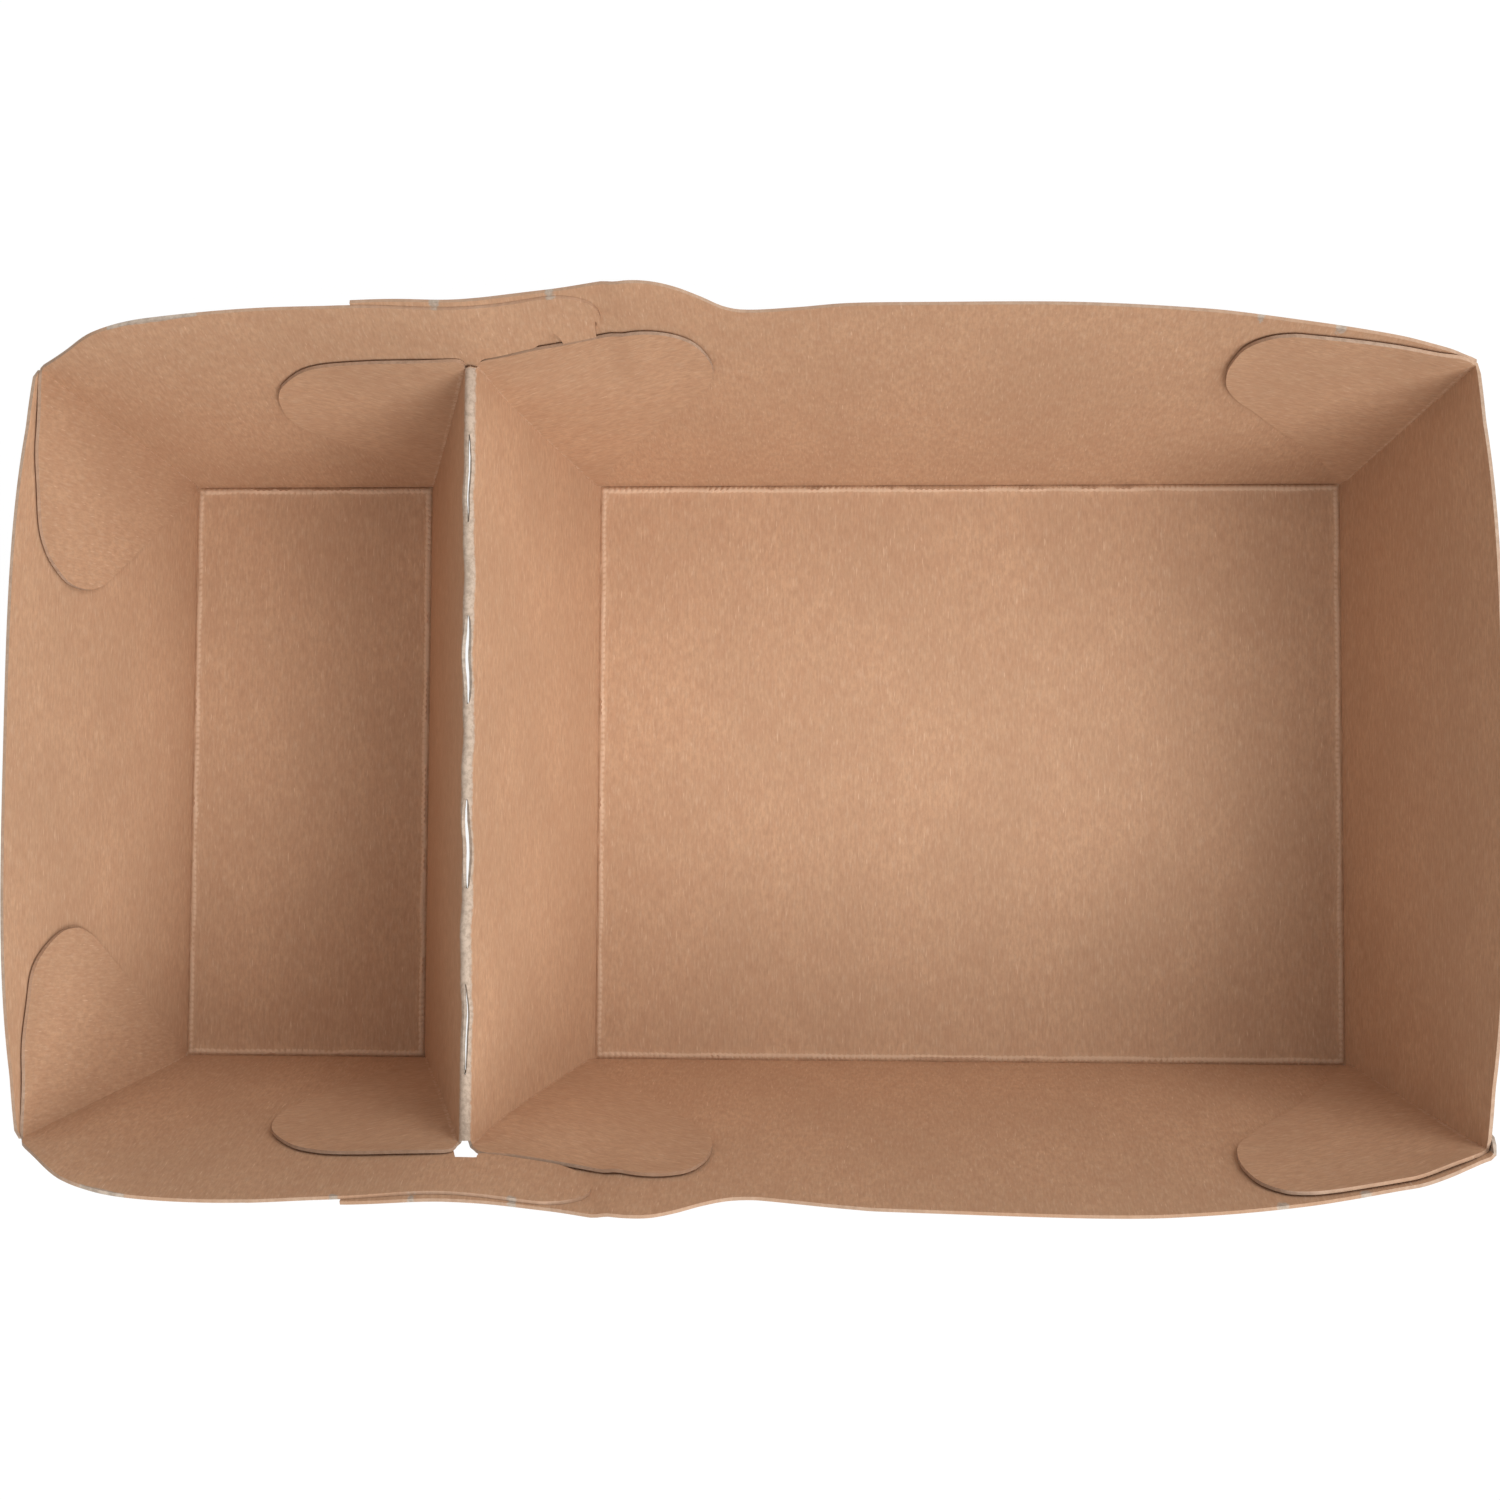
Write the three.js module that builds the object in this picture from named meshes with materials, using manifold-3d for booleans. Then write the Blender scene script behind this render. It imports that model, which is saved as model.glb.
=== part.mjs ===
// Two-compartment kraft food tray, folded and glued from one die-cut blank of paperboard.
// Millimetres, +Z up. X runs along the tray from the small compartment to the large one,
// Y runs across it. The origin is under the middle of the tray, on the surface it rests on.
import * as THREE from 'three';
import { mergeVertices } from 'three/addons/utils/BufferGeometryUtils.js';
import Module from 'manifold-3d';

// The board
const board = 0.5;              // thickness of the paperboard
const glueLap = 0.1;            // how far two glued layers are pressed into each other

// The bottoms and the divider's foot
const smallLength = 37.5;       // small bottom, along X
const largeLength = 115;        // large bottom, along X
const bottomWidth = 89.5;       // both bottoms, along Y
const dividerFoot = 26.8;       // gap between the two bottoms, bridged by the divider
const dividerHeight = 46.8;     // from the surface it rests on to the crest of the divider
const crestRadius = 0.6;        // outside radius of the folded crest

// How far the walls lean outwards
const longWallLean = 10.4;      // degrees from upright
const endWallLean = 11.8;       // degrees from upright

// How far the middle of each rim is bowed outwards, past a flat wall
const bowAtDivider = 1.8;
const bowOfSmallWall = 4.0;
const bowOfLargeWall = 5.0;
const bowOfEndWall = 1.2;

// Heights of the rim, measured up the wall from its fold
const cornerHeight = 47.5;      // long walls at the four corners
const shoulderRun = 3.2;        // first stretch of rim after a left corner, along X
const shoulderRise = 5.2;       // and how much higher it ends
const smallRimHeight = 59.6;    // long walls of the small compartment
const lapRimHeight = 61.2;      // over the divider, where the walls overlap
const humpHeight = 63.6;        // the hump beside the divider
const humpPlace = 24;           // its distance from the divider's crest
const humpHalfWidth = 9;
const dipHeight = 56.4;         // the dip after the hump
const dipPlace = 40;            // its distance from the divider's crest
const largeRimHeight = 58.2;    // long walls of the large compartment
const fallRun = 30;             // where the rim starts to fall towards a right corner
const fallStart = 55.6;         // its height there
const endCornerHeight = 48;     // end walls at the corners
const endRimHeight = 51.6;      // end walls in the middle

// The tabs that join the walls of the two compartments, above the divider
const smallTabReach = 19.8;     // small wall's tab, past the crest, inside the large wall
const largeTabReach = 13.5;     // large wall's tab, past the crest, outside the small wall
const tabRimStep = 0.8;         // the inner wall's rim lies this much lower at the lap
const mouthHeight = 48.6;       // where the opening under the divider ends on the walls
const tabRise = 5.6;            // how much the small tab's lower edge rises to its tip

// The rounded glue flaps
const endFlapReach = 29;        // long walls' flaps inside the left end wall
const endFlapTop = 45.4;        // height of their upper edge, near the tip
const endFlapTip = 35;          // height of the middle of their round tip
const endFlapRadius = 8.5;
const cornerFlapReach = 32;     // right end wall's flaps inside the large walls
const cornerFlapTop = 53.6;
const cornerFlapTip = 44.5;
const cornerFlapRadius = 9;
const rightFlapReach = 34;      // divider's flaps inside the large walls
const rightFlapTop = 52.6;
const rightFlapTip = 43;
const rightFlapRadius = 9;
const leftFlapReach = 29;       // divider's flaps inside the small walls
const leftFlapTop = 46.6;
const leftFlapTip = 35;
const leftFlapRadius = 8.5;

// The slits cut along the crest so that it folds cleanly
const slitCount = 4;
const slitPitch = 25.1;
const slitLength = 12.2;
const openSlitWidth = 0.85;     // the middle slits gape
const closedSlitWidth = 0.3;    // the outer ones stay nearly shut

// Fineness of the facets
const columnStep = 4.6;         // along a wall
const flapColumns = 14;
const bendSteps = 3;

const rad = THREE.MathUtils.degToRad;
const longLean = rad(longWallLean);
const endLean = rad(endWallLean);
const halfWidth = bottomWidth / 2;
const crestX = smallLength + dividerFoot / 2 - (smallLength + dividerFoot + largeLength) / 2;
const smallLeft = crestX - dividerFoot / 2 - smallLength;
const smallRight = crestX - dividerFoot / 2;
const largeLeft = crestX + dividerFoot / 2;
const largeRight = largeLeft + largeLength;

// A corner fold leaves the bottom's corner and follows both walls
const cornerRun = Math.cos(longLean) * Math.tan(endLean);     // along X, for each unit up a long wall
const cornerSpread = Math.cos(endLean) * Math.tan(longLean);  // along Y, for each unit up an end wall
const leftCorner = smallLeft - cornerHeight * cornerRun;
const rightCorner = largeRight + cornerHeight * cornerRun;

const wasm = await Module();
wasm.setup();

// Places on the walls

function bump(t) {
  return 1 - Math.abs(2 * t - 1) ** 3;
}

function bowAt(x) {
  const large = x > crestX;
  const run = large ? largeRight - crestX : crestX - smallLeft;
  const t = Math.min(Math.abs(x - crestX) / run, 1);
  const middle = large ? bowOfLargeWall : bowOfSmallWall;
  return bowAtDivider * (1 - t ** 4) + (middle - bowAtDivider) * bump(t);
}

// A point on a long wall: x along the tray, up the wall from its fold, out from its inner face
function onLongWall(side, x, up, out) {
  const scale = (up / largeRimHeight) ** 2;
  const bow = bowAt(x) * scale;
  const lean = longLean + Math.atan(2 * bowAt(x) * up / largeRimHeight ** 2);
  const y = halfWidth + up * Math.sin(longLean) + bow * Math.cos(longLean) + out * Math.cos(lean);
  const z = board + up * Math.cos(longLean) - bow * Math.sin(longLean) - out * Math.sin(lean);
  return new THREE.Vector3(x, side * y, z);
}

// A point on an end wall: y across the tray, up the wall from its fold, out from its inner face
function onEndWall(side, y, up, out) {
  const t = Math.min(Math.abs(y) / halfWidth, 1);
  const bow = bowOfEndWall * (1 - t ** 3) * (up / endRimHeight) ** 2;
  const fold = side > 0 ? largeRight : smallLeft;
  const x = fold + side * (up * Math.sin(endLean) + (bow + out) * Math.cos(endLean));
  const z = board + up * Math.cos(endLean) - (bow + out) * Math.sin(endLean);
  return new THREE.Vector3(x, y, z);
}

// How far from the middle a long wall's inner face is, at a place and a height above the ground
function insideOfLongWall(x, z) {
  let up = Math.max(z - board, 0) / Math.cos(longLean);
  for (let i = 0; i < 4; i++) {
    up += (z - onLongWall(1, x, up, 0).z) / Math.cos(longLean);
    up = Math.max(up, 0);
  }
  return onLongWall(1, x, up, 0).y;
}

// Outlines, as curves on the unrolled walls

const at = (x, up) => new THREE.Vector2(x, up);

// The lowest and highest point of an outline at one place along it
function spanOf(outline, x) {
  let low = Infinity;
  let high = -Infinity;
  outline.forEach((a, i) => {
    const b = outline[(i + 1) % outline.length];
    if (Math.min(a.x, b.x) > x || Math.max(a.x, b.x) < x) return;
    const t = a.x === b.x ? 0 : (x - a.x) / (b.x - a.x);
    const ends = a.x === b.x ? [a.y, b.y] : [a.y + t * (b.y - a.y)];
    low = Math.min(low, ...ends);
    high = Math.max(high, ...ends);
  });
  return [low, high];
}

const rimCurve = new THREE.SplineCurve([
  at(leftCorner, cornerHeight),
  at(leftCorner + shoulderRun, cornerHeight + shoulderRise),
  at(leftCorner + 2.4 * shoulderRun, smallRimHeight - 2.4),
  at(smallLeft + 2 * shoulderRun, smallRimHeight),
  at(smallRight - 2 * shoulderRun, smallRimHeight),
  at(crestX, lapRimHeight),
  at(crestX + humpPlace - humpHalfWidth, lapRimHeight + 1),
  at(crestX + humpPlace, humpHeight),
  at(crestX + humpPlace + 0.75 * humpHalfWidth, humpHeight - 2),
  at(crestX + dipPlace - 0.35 * humpHalfWidth, dipHeight + 0.5),
  at(crestX + dipPlace + 0.25 * humpHalfWidth, dipHeight),
  at(largeLeft + 0.4 * largeLength, largeRimHeight),
  at(largeLeft + 0.6 * largeLength, largeRimHeight),
  at(rightCorner - fallRun, fallStart + 1.4),
  at(rightCorner - fallRun / 2, fallStart - 2),
  at(rightCorner - shoulderRun, cornerHeight + 0.7 * shoulderRise),
  at(rightCorner, cornerHeight),
]).getPoints(150);

function rimHeightAt(x) {
  const i = rimCurve.findIndex((p) => p.x >= x);
  if (i < 0) return rimCurve[rimCurve.length - 1].y;
  if (i === 0) return rimCurve[0].y;
  const [a, b] = [rimCurve[i - 1], rimCurve[i]];
  return a.y + (b.y - a.y) * (x - a.x) / (b.x - a.x);
}

const mouthRun = dividerFoot / 2 / mouthHeight;   // slope of the opening under the divider, on a wall

function mouthEdgeAt(x, foot) {
  return Math.min(Math.abs(x - foot) / mouthRun, mouthHeight);
}

function spread(from, to, step) {
  const count = Math.max(Math.ceil(Math.abs(to - from) / step), 1);
  return Array.from({ length: count + 1 }, (_, i) => from + (to - from) * i / count);
}

// Places up to a rounded tip, closer together towards its end
function towardsTip(from, tip, count) {
  return Array.from({ length: count + 1 }, (_, i) => from + (tip - from) * Math.sin(Math.PI / 2 * i / count));
}

// Closed sheets of board

// columns: places along the sheet, each with its lower and upper edge
function sheet(columns, place, inner, outer, rows = [0, 0.4, 0.75, 1]) {
  const layers = [inner, outer].map((out) => columns.map(([x, low, high]) =>
    rows.map((r) => place(x, low + (high - low) * r, typeof out === 'function' ? out(x) : out))));
  const [front, back] = layers;
  const points = [];
  const quad = (a, b, c, d) => points.push(a, b, c, a, c, d);
  const last = rows.length - 1;
  const end = columns.length - 1;
  for (let i = 0; i < end; i++) {
    for (let j = 0; j < last; j++) {
      quad(front[i][j], front[i + 1][j], front[i + 1][j + 1], front[i][j + 1]);
      quad(back[i][j], back[i][j + 1], back[i + 1][j + 1], back[i + 1][j]);
    }
    quad(front[i][0], back[i][0], back[i + 1][0], front[i + 1][0]);
    quad(front[i][last], front[i + 1][last], back[i + 1][last], back[i][last]);
  }
  for (let j = 0; j < last; j++) {
    quad(front[0][j], front[0][j + 1], back[0][j + 1], back[0][j]);
    quad(front[end][j], back[end][j], back[end][j + 1], front[end][j + 1]);
  }
  return new THREE.BufferGeometry().setFromPoints(points);
}

// A section drawn in the X and Z plane and carried across the tray to both ends
function across(outline, endOf) {
  const section = THREE.ShapeUtils.isClockWise(outline) ? [...outline].reverse() : outline;
  const faces = THREE.ShapeUtils.triangulateShape(section, []);
  const points = [];
  const end = (side, i) => new THREE.Vector3(section[i].x, side * endOf(section[i].x, section[i].y), section[i].y);
  for (const [a, b, c] of faces) {
    points.push(end(1, a), end(1, b), end(1, c));
    points.push(end(-1, a), end(-1, c), end(-1, b));
  }
  section.forEach((_, i) => {
    const j = (i + 1) % section.length;
    points.push(end(1, i), end(-1, i), end(-1, j));
    points.push(end(1, i), end(-1, j), end(1, j));
  });
  return new THREE.BufferGeometry().setFromPoints(points);
}

// One closed, outward-facing solid from a geometry
function solid(geometry) {
  const bare = geometry.index ? geometry.toNonIndexed() : geometry;
  bare.deleteAttribute('normal');
  bare.deleteAttribute('uv');
  const merged = mergeVertices(bare, 1e-4);
  const corners = merged.index.array;
  const kept = [];
  for (let i = 0; i < corners.length; i += 3) {
    const [a, b, c] = [corners[i], corners[i + 1], corners[i + 2]];
    if (a !== b && b !== c && c !== a) kept.push(a, b, c);
  }
  const build = (tris) => new wasm.Manifold(new wasm.Mesh({
    numProp: 3,
    vertProperties: new Float32Array(merged.attributes.position.array),
    triVerts: new Uint32Array(tris),
  }));
  const first = build(kept);
  if (first.volume() > 0) return first;
  const flipped = [];
  for (let i = 0; i < kept.length; i += 3) flipped.push(kept[i], kept[i + 2], kept[i + 1]);
  return build(flipped);
}

// The panels

function bottom(from, to) {
  const slab = new THREE.BoxGeometry(to - from, bottomWidth, board);
  slab.translate((from + to) / 2, 0, board / 2);
  return solid(slab);
}

// Section of the fold between a flat bottom and a wall: sharp crease inside, round outside
function foldSection(lean) {
  const grip = 2 * board;
  const points = [at(-grip, 0), at(-grip, board), at(0, board)];
  points.push(at(grip * Math.sin(lean), board + grip * Math.cos(lean)));
  points.push(at(grip * Math.sin(lean) + board * Math.cos(lean), board + grip * Math.cos(lean) - board * Math.sin(lean)));
  for (let i = 0; i <= bendSteps; i++) {
    const turn = -lean - (Math.PI / 2 - lean) * i / bendSteps;
    points.push(at(board * Math.cos(turn), board + board * Math.sin(turn)));
  }
  return points;
}

function longFold(side, from, to) {
  const shape = new THREE.Shape(foldSection(longLean));
  const bar = new THREE.ExtrudeGeometry(shape, { depth: to - from, bevelEnabled: false });
  bar.applyMatrix4(new THREE.Matrix4().set(0, 0, 1, from, side, 0, 0, side * halfWidth, 0, 1, 0, 0, 0, 0, 0, 1));
  return solid(bar);
}

function endFold(side) {
  const shape = new THREE.Shape(foldSection(endLean));
  const bar = new THREE.ExtrudeGeometry(shape, { depth: bottomWidth, bevelEnabled: false });
  const fold = side > 0 ? largeRight : smallLeft;
  bar.applyMatrix4(new THREE.Matrix4().set(side, 0, 0, fold, 0, 0, 1, -halfWidth, 0, 1, 0, 0, 0, 0, 0, 1));
  return solid(bar);
}

function endWall(side) {
  const rimAt = (y) => endRimHeight - (endRimHeight - endCornerHeight) * (y / cornerY) ** 2;
  const cornerY = halfWidth + endCornerHeight * cornerSpread;
  const edge = cornerY + board;
  const lowerAt = (y) => Math.max(Math.abs(y) - halfWidth - board, 0) / cornerSpread;
  const places = [
    ...spread(-edge, -halfWidth - board, columnStep),
    ...spread(-halfWidth - board, halfWidth + board, 2 * columnStep).slice(1),
    ...spread(halfWidth + board, edge, columnStep).slice(1),
  ];
  const columns = places.map((y) => [y, Math.min(lowerAt(y), rimAt(y) - 0.2), rimAt(y)]);
  return solid(sheet(columns, (y, up, out) => onEndWall(side, y, up, out), 0, board));
}

// The small compartment's long wall, with its tab inside the large wall
function smallWall(side) {
  const tip = crestX + smallTabReach;
  const step = 0.5 * smallTabReach;
  const bodyEdge = (x) => Math.max(smallLeft - board - x, 0) / cornerRun;
  const lowerAt = (x) => {
    if (x < smallRight) return Math.min(bodyEdge(x), rimHeightAt(x) - 0.2);
    if (x < crestX) return mouthEdgeAt(x, smallRight);
    return mouthHeight + tabRise * ((x - crestX) / smallTabReach) ** 1.5;
  };
  const upperAt = (x) => rimHeightAt(x) - tabRimStep * THREE.MathUtils.smoothstep(x, smallRight, crestX);
  const round = (x) => {
    const t = THREE.MathUtils.clamp((x - tip + step / 2) / (step / 2), 0, 1);
    return Math.sqrt(1 - t * t);
  };
  const places = [
    ...spread(leftCorner - board, smallLeft - board, columnStep / 2),
    ...spread(smallLeft - board, smallRight, columnStep).slice(1),
    ...spread(smallRight, crestX, columnStep).slice(1),
    ...spread(crestX, tip - step / 2, columnStep / 2).slice(1),
    ...towardsTip(tip - step / 2, tip, 5).slice(1),
  ];
  const columns = places.map((x) => {
    const middle = (lowerAt(tip) + upperAt(tip)) / 2;
    const k = x > tip - step / 2 ? round(x) : 1;
    return [x, middle + (lowerAt(x) - middle) * k, middle + (upperAt(x) - middle) * k];
  });
  return solid(sheet(columns, (x, up, out) => onLongWall(side, x, up, out), 0, board));
}

// The large wall steps outwards by one board where the small wall's tab lies inside it
function stepOut(x) {
  const start = crestX + smallTabReach;
  return (board - glueLap) * (1 - THREE.MathUtils.smoothstep(x, start, start + 3));
}

function largeWall(side) {
  const tip = crestX - largeTabReach;
  const bodyEdge = (x) => Math.max(x - largeRight - board, 0) / cornerRun;
  const lowerAt = (x) => {
    if (x > largeLeft) return Math.min(bodyEdge(x), rimHeightAt(x) - 0.2);
    if (x > crestX) return mouthEdgeAt(x, largeLeft);
    return mouthHeight + 0.5 * tabRise * (crestX - x) / largeTabReach;
  };
  const places = [
    ...spread(tip, crestX, columnStep),
    ...spread(crestX, largeLeft, columnStep).slice(1),
    ...spread(largeLeft, largeRight + board, columnStep).slice(1),
    ...spread(largeRight + board, rightCorner + board, columnStep / 2).slice(1),
  ];
  const columns = places.map((x) => [x, lowerAt(x), rimHeightAt(x)]);
  const place = (x, up, out) => onLongWall(side, x, up, out);
  return solid(sheet(columns, place, stepOut, (x) => stepOut(x) + board));
}

// A rounded glue flap on the unrolled wall. It runs from a fold line to a round tip.
// foot and top are the two ends of the fold line, and towards is 1 or -1 along the wall.
function flapOutline(foot, top, towards, reach, upper, tipHeight, radius) {
  const tip = at(top.x + towards * reach, tipHeight);
  const centre = at(tip.x - towards * radius, tipHeight);
  const points = [foot.clone(), top.clone()];
  const round = 10;
  for (let i = 0; i <= round; i++) {
    const turn = Math.PI / 2 - (Math.PI / 2 + 0.6) * i / round;
    const tall = turn > 0 ? upper - tipHeight : radius;
    points.push(at(centre.x + towards * radius * Math.cos(turn), tipHeight + tall * Math.sin(turn)));
  }
  return points;
}

function flap(outline, towards, place, inner, outer) {
  const places = outline.map((p) => p.x);
  const from = towards > 0 ? Math.min(...places) : Math.max(...places);
  const tip = towards > 0 ? Math.max(...places) : Math.min(...places);
  const columns = towardsTip(from, tip, flapColumns).map((x) => [x, ...spanOf(outline, x)]);
  return solid(sheet(columns, place, inner, outer, [0, 0.5, 1]));
}

const flapOuter = board / 2;    // a flap's back is pressed this far into the wall that carries it

// Long walls' flaps, glued inside the left end wall
function leftEndFlap(side) {
  const corner = halfWidth + cornerHeight * cornerSpread;
  const foot = at(side * (halfWidth + board), 0);
  const top = at(side * (corner + board), cornerHeight);
  const outline = flapOutline(foot, top, -side, endFlapReach, endFlapTop, endFlapTip, endFlapRadius);
  return flap(outline, -side, (y, up, out) => onEndWall(-1, y, up, out), -board, flapOuter);
}

// Right end wall's flaps, glued inside the large compartment's long walls
function rightCornerFlap(side) {
  const foot = at(largeRight + board, 0);
  const top = at(rightCorner + board, cornerHeight);
  const outline = flapOutline(foot, top, -1, cornerFlapReach, cornerFlapTop, cornerFlapTip, cornerFlapRadius);
  return flap(outline, -1, (x, up, out) => onLongWall(side, x, up, out), -board, flapOuter);
}

// The divider's flaps, glued inside the long walls of the compartment on their side
function dividerFlap(side, towards) {
  const large = towards > 0;
  const foot = at(crestX + towards * dividerFoot / 2, 0);
  const top = at(crestX, dividerHeight);
  const outline = large
    ? flapOutline(foot, top, 1, rightFlapReach, rightFlapTop, rightFlapTip, rightFlapRadius)
    : flapOutline(foot, top, -1, leftFlapReach, leftFlapTop, leftFlapTip, leftFlapRadius);
  const inner = large ? (x) => stepOut(x) - board : -board;
  const outer = large ? (x) => stepOut(x) + flapOuter : flapOuter;
  return flap(outline, towards, (x, up, out) => onLongWall(side, x, up, out), inner, outer);
}

// Section of the divider: two leaning panels with a round crest, and a fold at each foot
function dividerSection() {
  const centreHeight = dividerHeight - crestRadius;
  const toCentre = at(dividerFoot / 2, centreHeight - board);
  const lean = Math.atan2(toCentre.x, toCentre.y) - Math.asin(crestRadius / toCentre.length());
  const half = [at(-dividerFoot / 2 - 2 * board, 0), at(-dividerFoot / 2 - 2 * board, board)];
  half.push(at(-dividerFoot / 2, board));
  const turns = Array.from({ length: bendSteps + 1 }, (_, i) => lean + (Math.PI / 2 - lean) * i / bendSteps);
  const outside = turns.map((t) => at(-crestRadius * Math.cos(t), centreHeight + crestRadius * Math.sin(t)));
  const insideRadius = crestRadius - board;
  const inside = turns.map((t) => at(-insideRadius * Math.cos(t), centreHeight + insideRadius * Math.sin(t)));
  const footTurns = Array.from({ length: bendSteps + 1 }, (_, i) => -lean - (Math.PI / 2 - lean) * i / bendSteps);
  const footRound = footTurns.map((t) => at(-dividerFoot / 2 + board * Math.cos(t), board + board * Math.sin(t)));
  const top = [...half, ...outside];
  const under = [...inside.reverse(), ...footRound];
  const mirror = (points) => points.map((p) => at(-p.x, p.y)).reverse();
  const all = [...top, ...mirror(top).slice(1), ...mirror(under), ...under.slice(1)];
  return all.map((p) => at(p.x + crestX, p.y));
}

function divider() {
  return solid(across(dividerSection(), insideOfLongWall));
}

// A slit with pointed ends, cut down through the crest
function slit(place, width) {
  const outline = new THREE.Shape();
  outline.moveTo(0, -slitLength / 2);
  outline.quadraticCurveTo(width, 0, 0, slitLength / 2);
  outline.quadraticCurveTo(-width, 0, 0, -slitLength / 2);
  const depth = 4 * crestRadius;
  const cut = new THREE.ExtrudeGeometry(outline, { depth: 2 * depth, bevelEnabled: false, curveSegments: 6 });
  cut.translate(crestX, place, dividerHeight - depth);
  return solid(cut);
}

function slits() {
  const places = Array.from({ length: slitCount }, (_, i) => (i - (slitCount - 1) / 2) * slitPitch);
  return places.map((y) => slit(y, Math.abs(y) < slitPitch ? openSlitWidth : closedSlitWidth));
}

function foldedBlank() {
  const panels = [
    bottom(smallLeft, smallRight), bottom(largeLeft, largeRight), divider(),
    endFold(-1), endFold(1), endWall(-1), endWall(1),
  ];
  for (const side of [-1, 1]) {
    panels.push(longFold(side, smallLeft, smallRight), longFold(side, largeLeft, largeRight));
    panels.push(smallWall(side), largeWall(side));
    panels.push(leftEndFlap(side), rightCornerFlap(side), dividerFlap(side, 1), dividerFlap(side, -1));
  }
  const whole = panels.reduce((a, b) => a.add(b));
  return slits().reduce((a, b) => a.subtract(b), whole);
}

function geometryOf(body) {
  const mesh = body.getMesh();
  const geometry = new THREE.BufferGeometry();
  geometry.setAttribute('position', new THREE.BufferAttribute(new Float32Array(mesh.vertProperties), 3));
  geometry.setIndex(new THREE.BufferAttribute(new Uint32Array(mesh.triVerts), 1));
  geometry.computeVertexNormals();
  return geometry;
}

const kraft = new THREE.MeshStandardMaterial({ color: 0xb98a64, roughness: 0.85, metalness: 0 });

const tray = new THREE.Group();
const sheetMesh = new THREE.Mesh(geometryOf(foldedBlank()), kraft);
sheetMesh.name = 'folded_board';
tray.add(sheetMesh);

export default tray;
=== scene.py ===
"""A divided kraft food tray, folded and glued from one die-cut blank of board.

The blank is modelled as one sheet. Each panel is drawn flat, carried to its place on the folded tray,
joined to its neighbours along the folds and then given the thickness of the board.
Sizes are in millimetres while the sheet is built, and in metres on the finished mesh.
"""
import math

import bpy
import numpy as np
from mathutils import Matrix, Vector
from mathutils.geometry import delaunay_2d_cdt
from bpy.props import FloatProperty, FloatVectorProperty, PointerProperty
from bpy.types import Operator, Panel, PropertyGroup


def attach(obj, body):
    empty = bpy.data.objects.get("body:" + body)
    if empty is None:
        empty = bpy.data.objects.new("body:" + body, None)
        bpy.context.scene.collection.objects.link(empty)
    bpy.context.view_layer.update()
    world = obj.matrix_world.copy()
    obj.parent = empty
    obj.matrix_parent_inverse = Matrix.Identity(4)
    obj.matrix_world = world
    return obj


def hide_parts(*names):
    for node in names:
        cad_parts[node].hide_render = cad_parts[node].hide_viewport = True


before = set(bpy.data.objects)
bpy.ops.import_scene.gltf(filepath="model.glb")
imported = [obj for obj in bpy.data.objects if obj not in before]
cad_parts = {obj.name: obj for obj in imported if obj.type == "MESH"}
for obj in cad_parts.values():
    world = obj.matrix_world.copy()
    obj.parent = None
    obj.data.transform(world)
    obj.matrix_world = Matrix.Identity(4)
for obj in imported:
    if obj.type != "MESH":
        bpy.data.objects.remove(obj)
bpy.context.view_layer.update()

bl_info = {
    "name": "Folded Food Tray",
    "version": (1, 0, 0),
    "blender": (4, 5, 0),
    "location": "3D View > Sidebar > Food Tray",
    "description": "Builds a divided kraft food tray from one folded sheet of board",
    "category": "Add Mesh",
}

MM = 0.001
SHARP_ANGLE = 65            # degrees
TRAY_NODE = "folded_board"
BODY = "root"

# The bottoms and the divider's foot, along X and Y
HALF_WIDTH = 44.75
SMALL_LEFT, SMALL_RIGHT = -89.65, -52.15
LARGE_LEFT, LARGE_RIGHT = -25.35, 89.65
CREST = -38.75
CREST_LEAN = 0.6            # the crest stands this much nearer the large bottom
CREST_SWAY = 0.3            # and that lean changes by this much towards each end
CREST_HEIGHT = 46.8
CREST_END = 53.6            # where the flaps begin, past the crest's ends on the blank
FRONT, BACK = -1, 1
LEFT, RIGHT = -1, 1

LONG_LEAN = math.radians(10.4)
END_LEAN = math.radians(11.8)
CORNER_RUN = math.cos(LONG_LEAN) * math.tan(END_LEAN)
CORNER_SPREAD = math.cos(END_LEAN) * math.tan(LONG_LEAN)
CORNER_HEIGHT = 47.5        # of the long walls at their corner folds
END_CORNER = 48.0           # of the end walls at their corners, and in the middle
END_MIDDLE = 51.6
BOW_HEIGHT = 58.0           # height up a long wall at which its bow is given
BOW_POWER = 2.0
RIDGE_STRAIGHTENS = 3.0     # the glued divider holds the walls straight below its crest
RIDGE_REACH = 14.0
END_BOW = 1.2
BOW_FADE = 12               # the bow fades to nothing over this distance from a corner fold
TAPER = 3.0                 # a flap steps in from its wall by one board over this height
STEP_ACROSS = 19.9, 22.6    # a large wall stands out by one board as far as this from the crest
STEP_UP = 34, 46            # and from this height up
DIVIDER_ON_BLANK = 400      # the divider's panels are drawn this far along the blank, clear of the rest

# Steps between the points of a panel
FOLD_STEP = 0.9             # along the folds of the bottoms
FLAP_FOLD_STEP = 1.6        # along the other folds
RIM_STEP = 0.8
END_RIM_STEP = 1.2
CURL_STEP = 1.0             # along the curled edges at the right corners
TAB_STEP = 0.6              # along the lower edge of a tab
EDGE_STEP = 1.4             # along straight free edges
GRID_STEP = 1.9             # inside a wall or a flap
WIDE_STEP = 2.2             # inside a bottom or the divider
HOLE_MARGIN = 0.4           # grid points keep this share of a step away from a hole
SAME_POINT = 1e-6
JOIN_REACH = 4e-3           # points on folds that lie this close are one point
SMALLEST_TURN = 1e-7        # thinner triangles are left out

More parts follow.
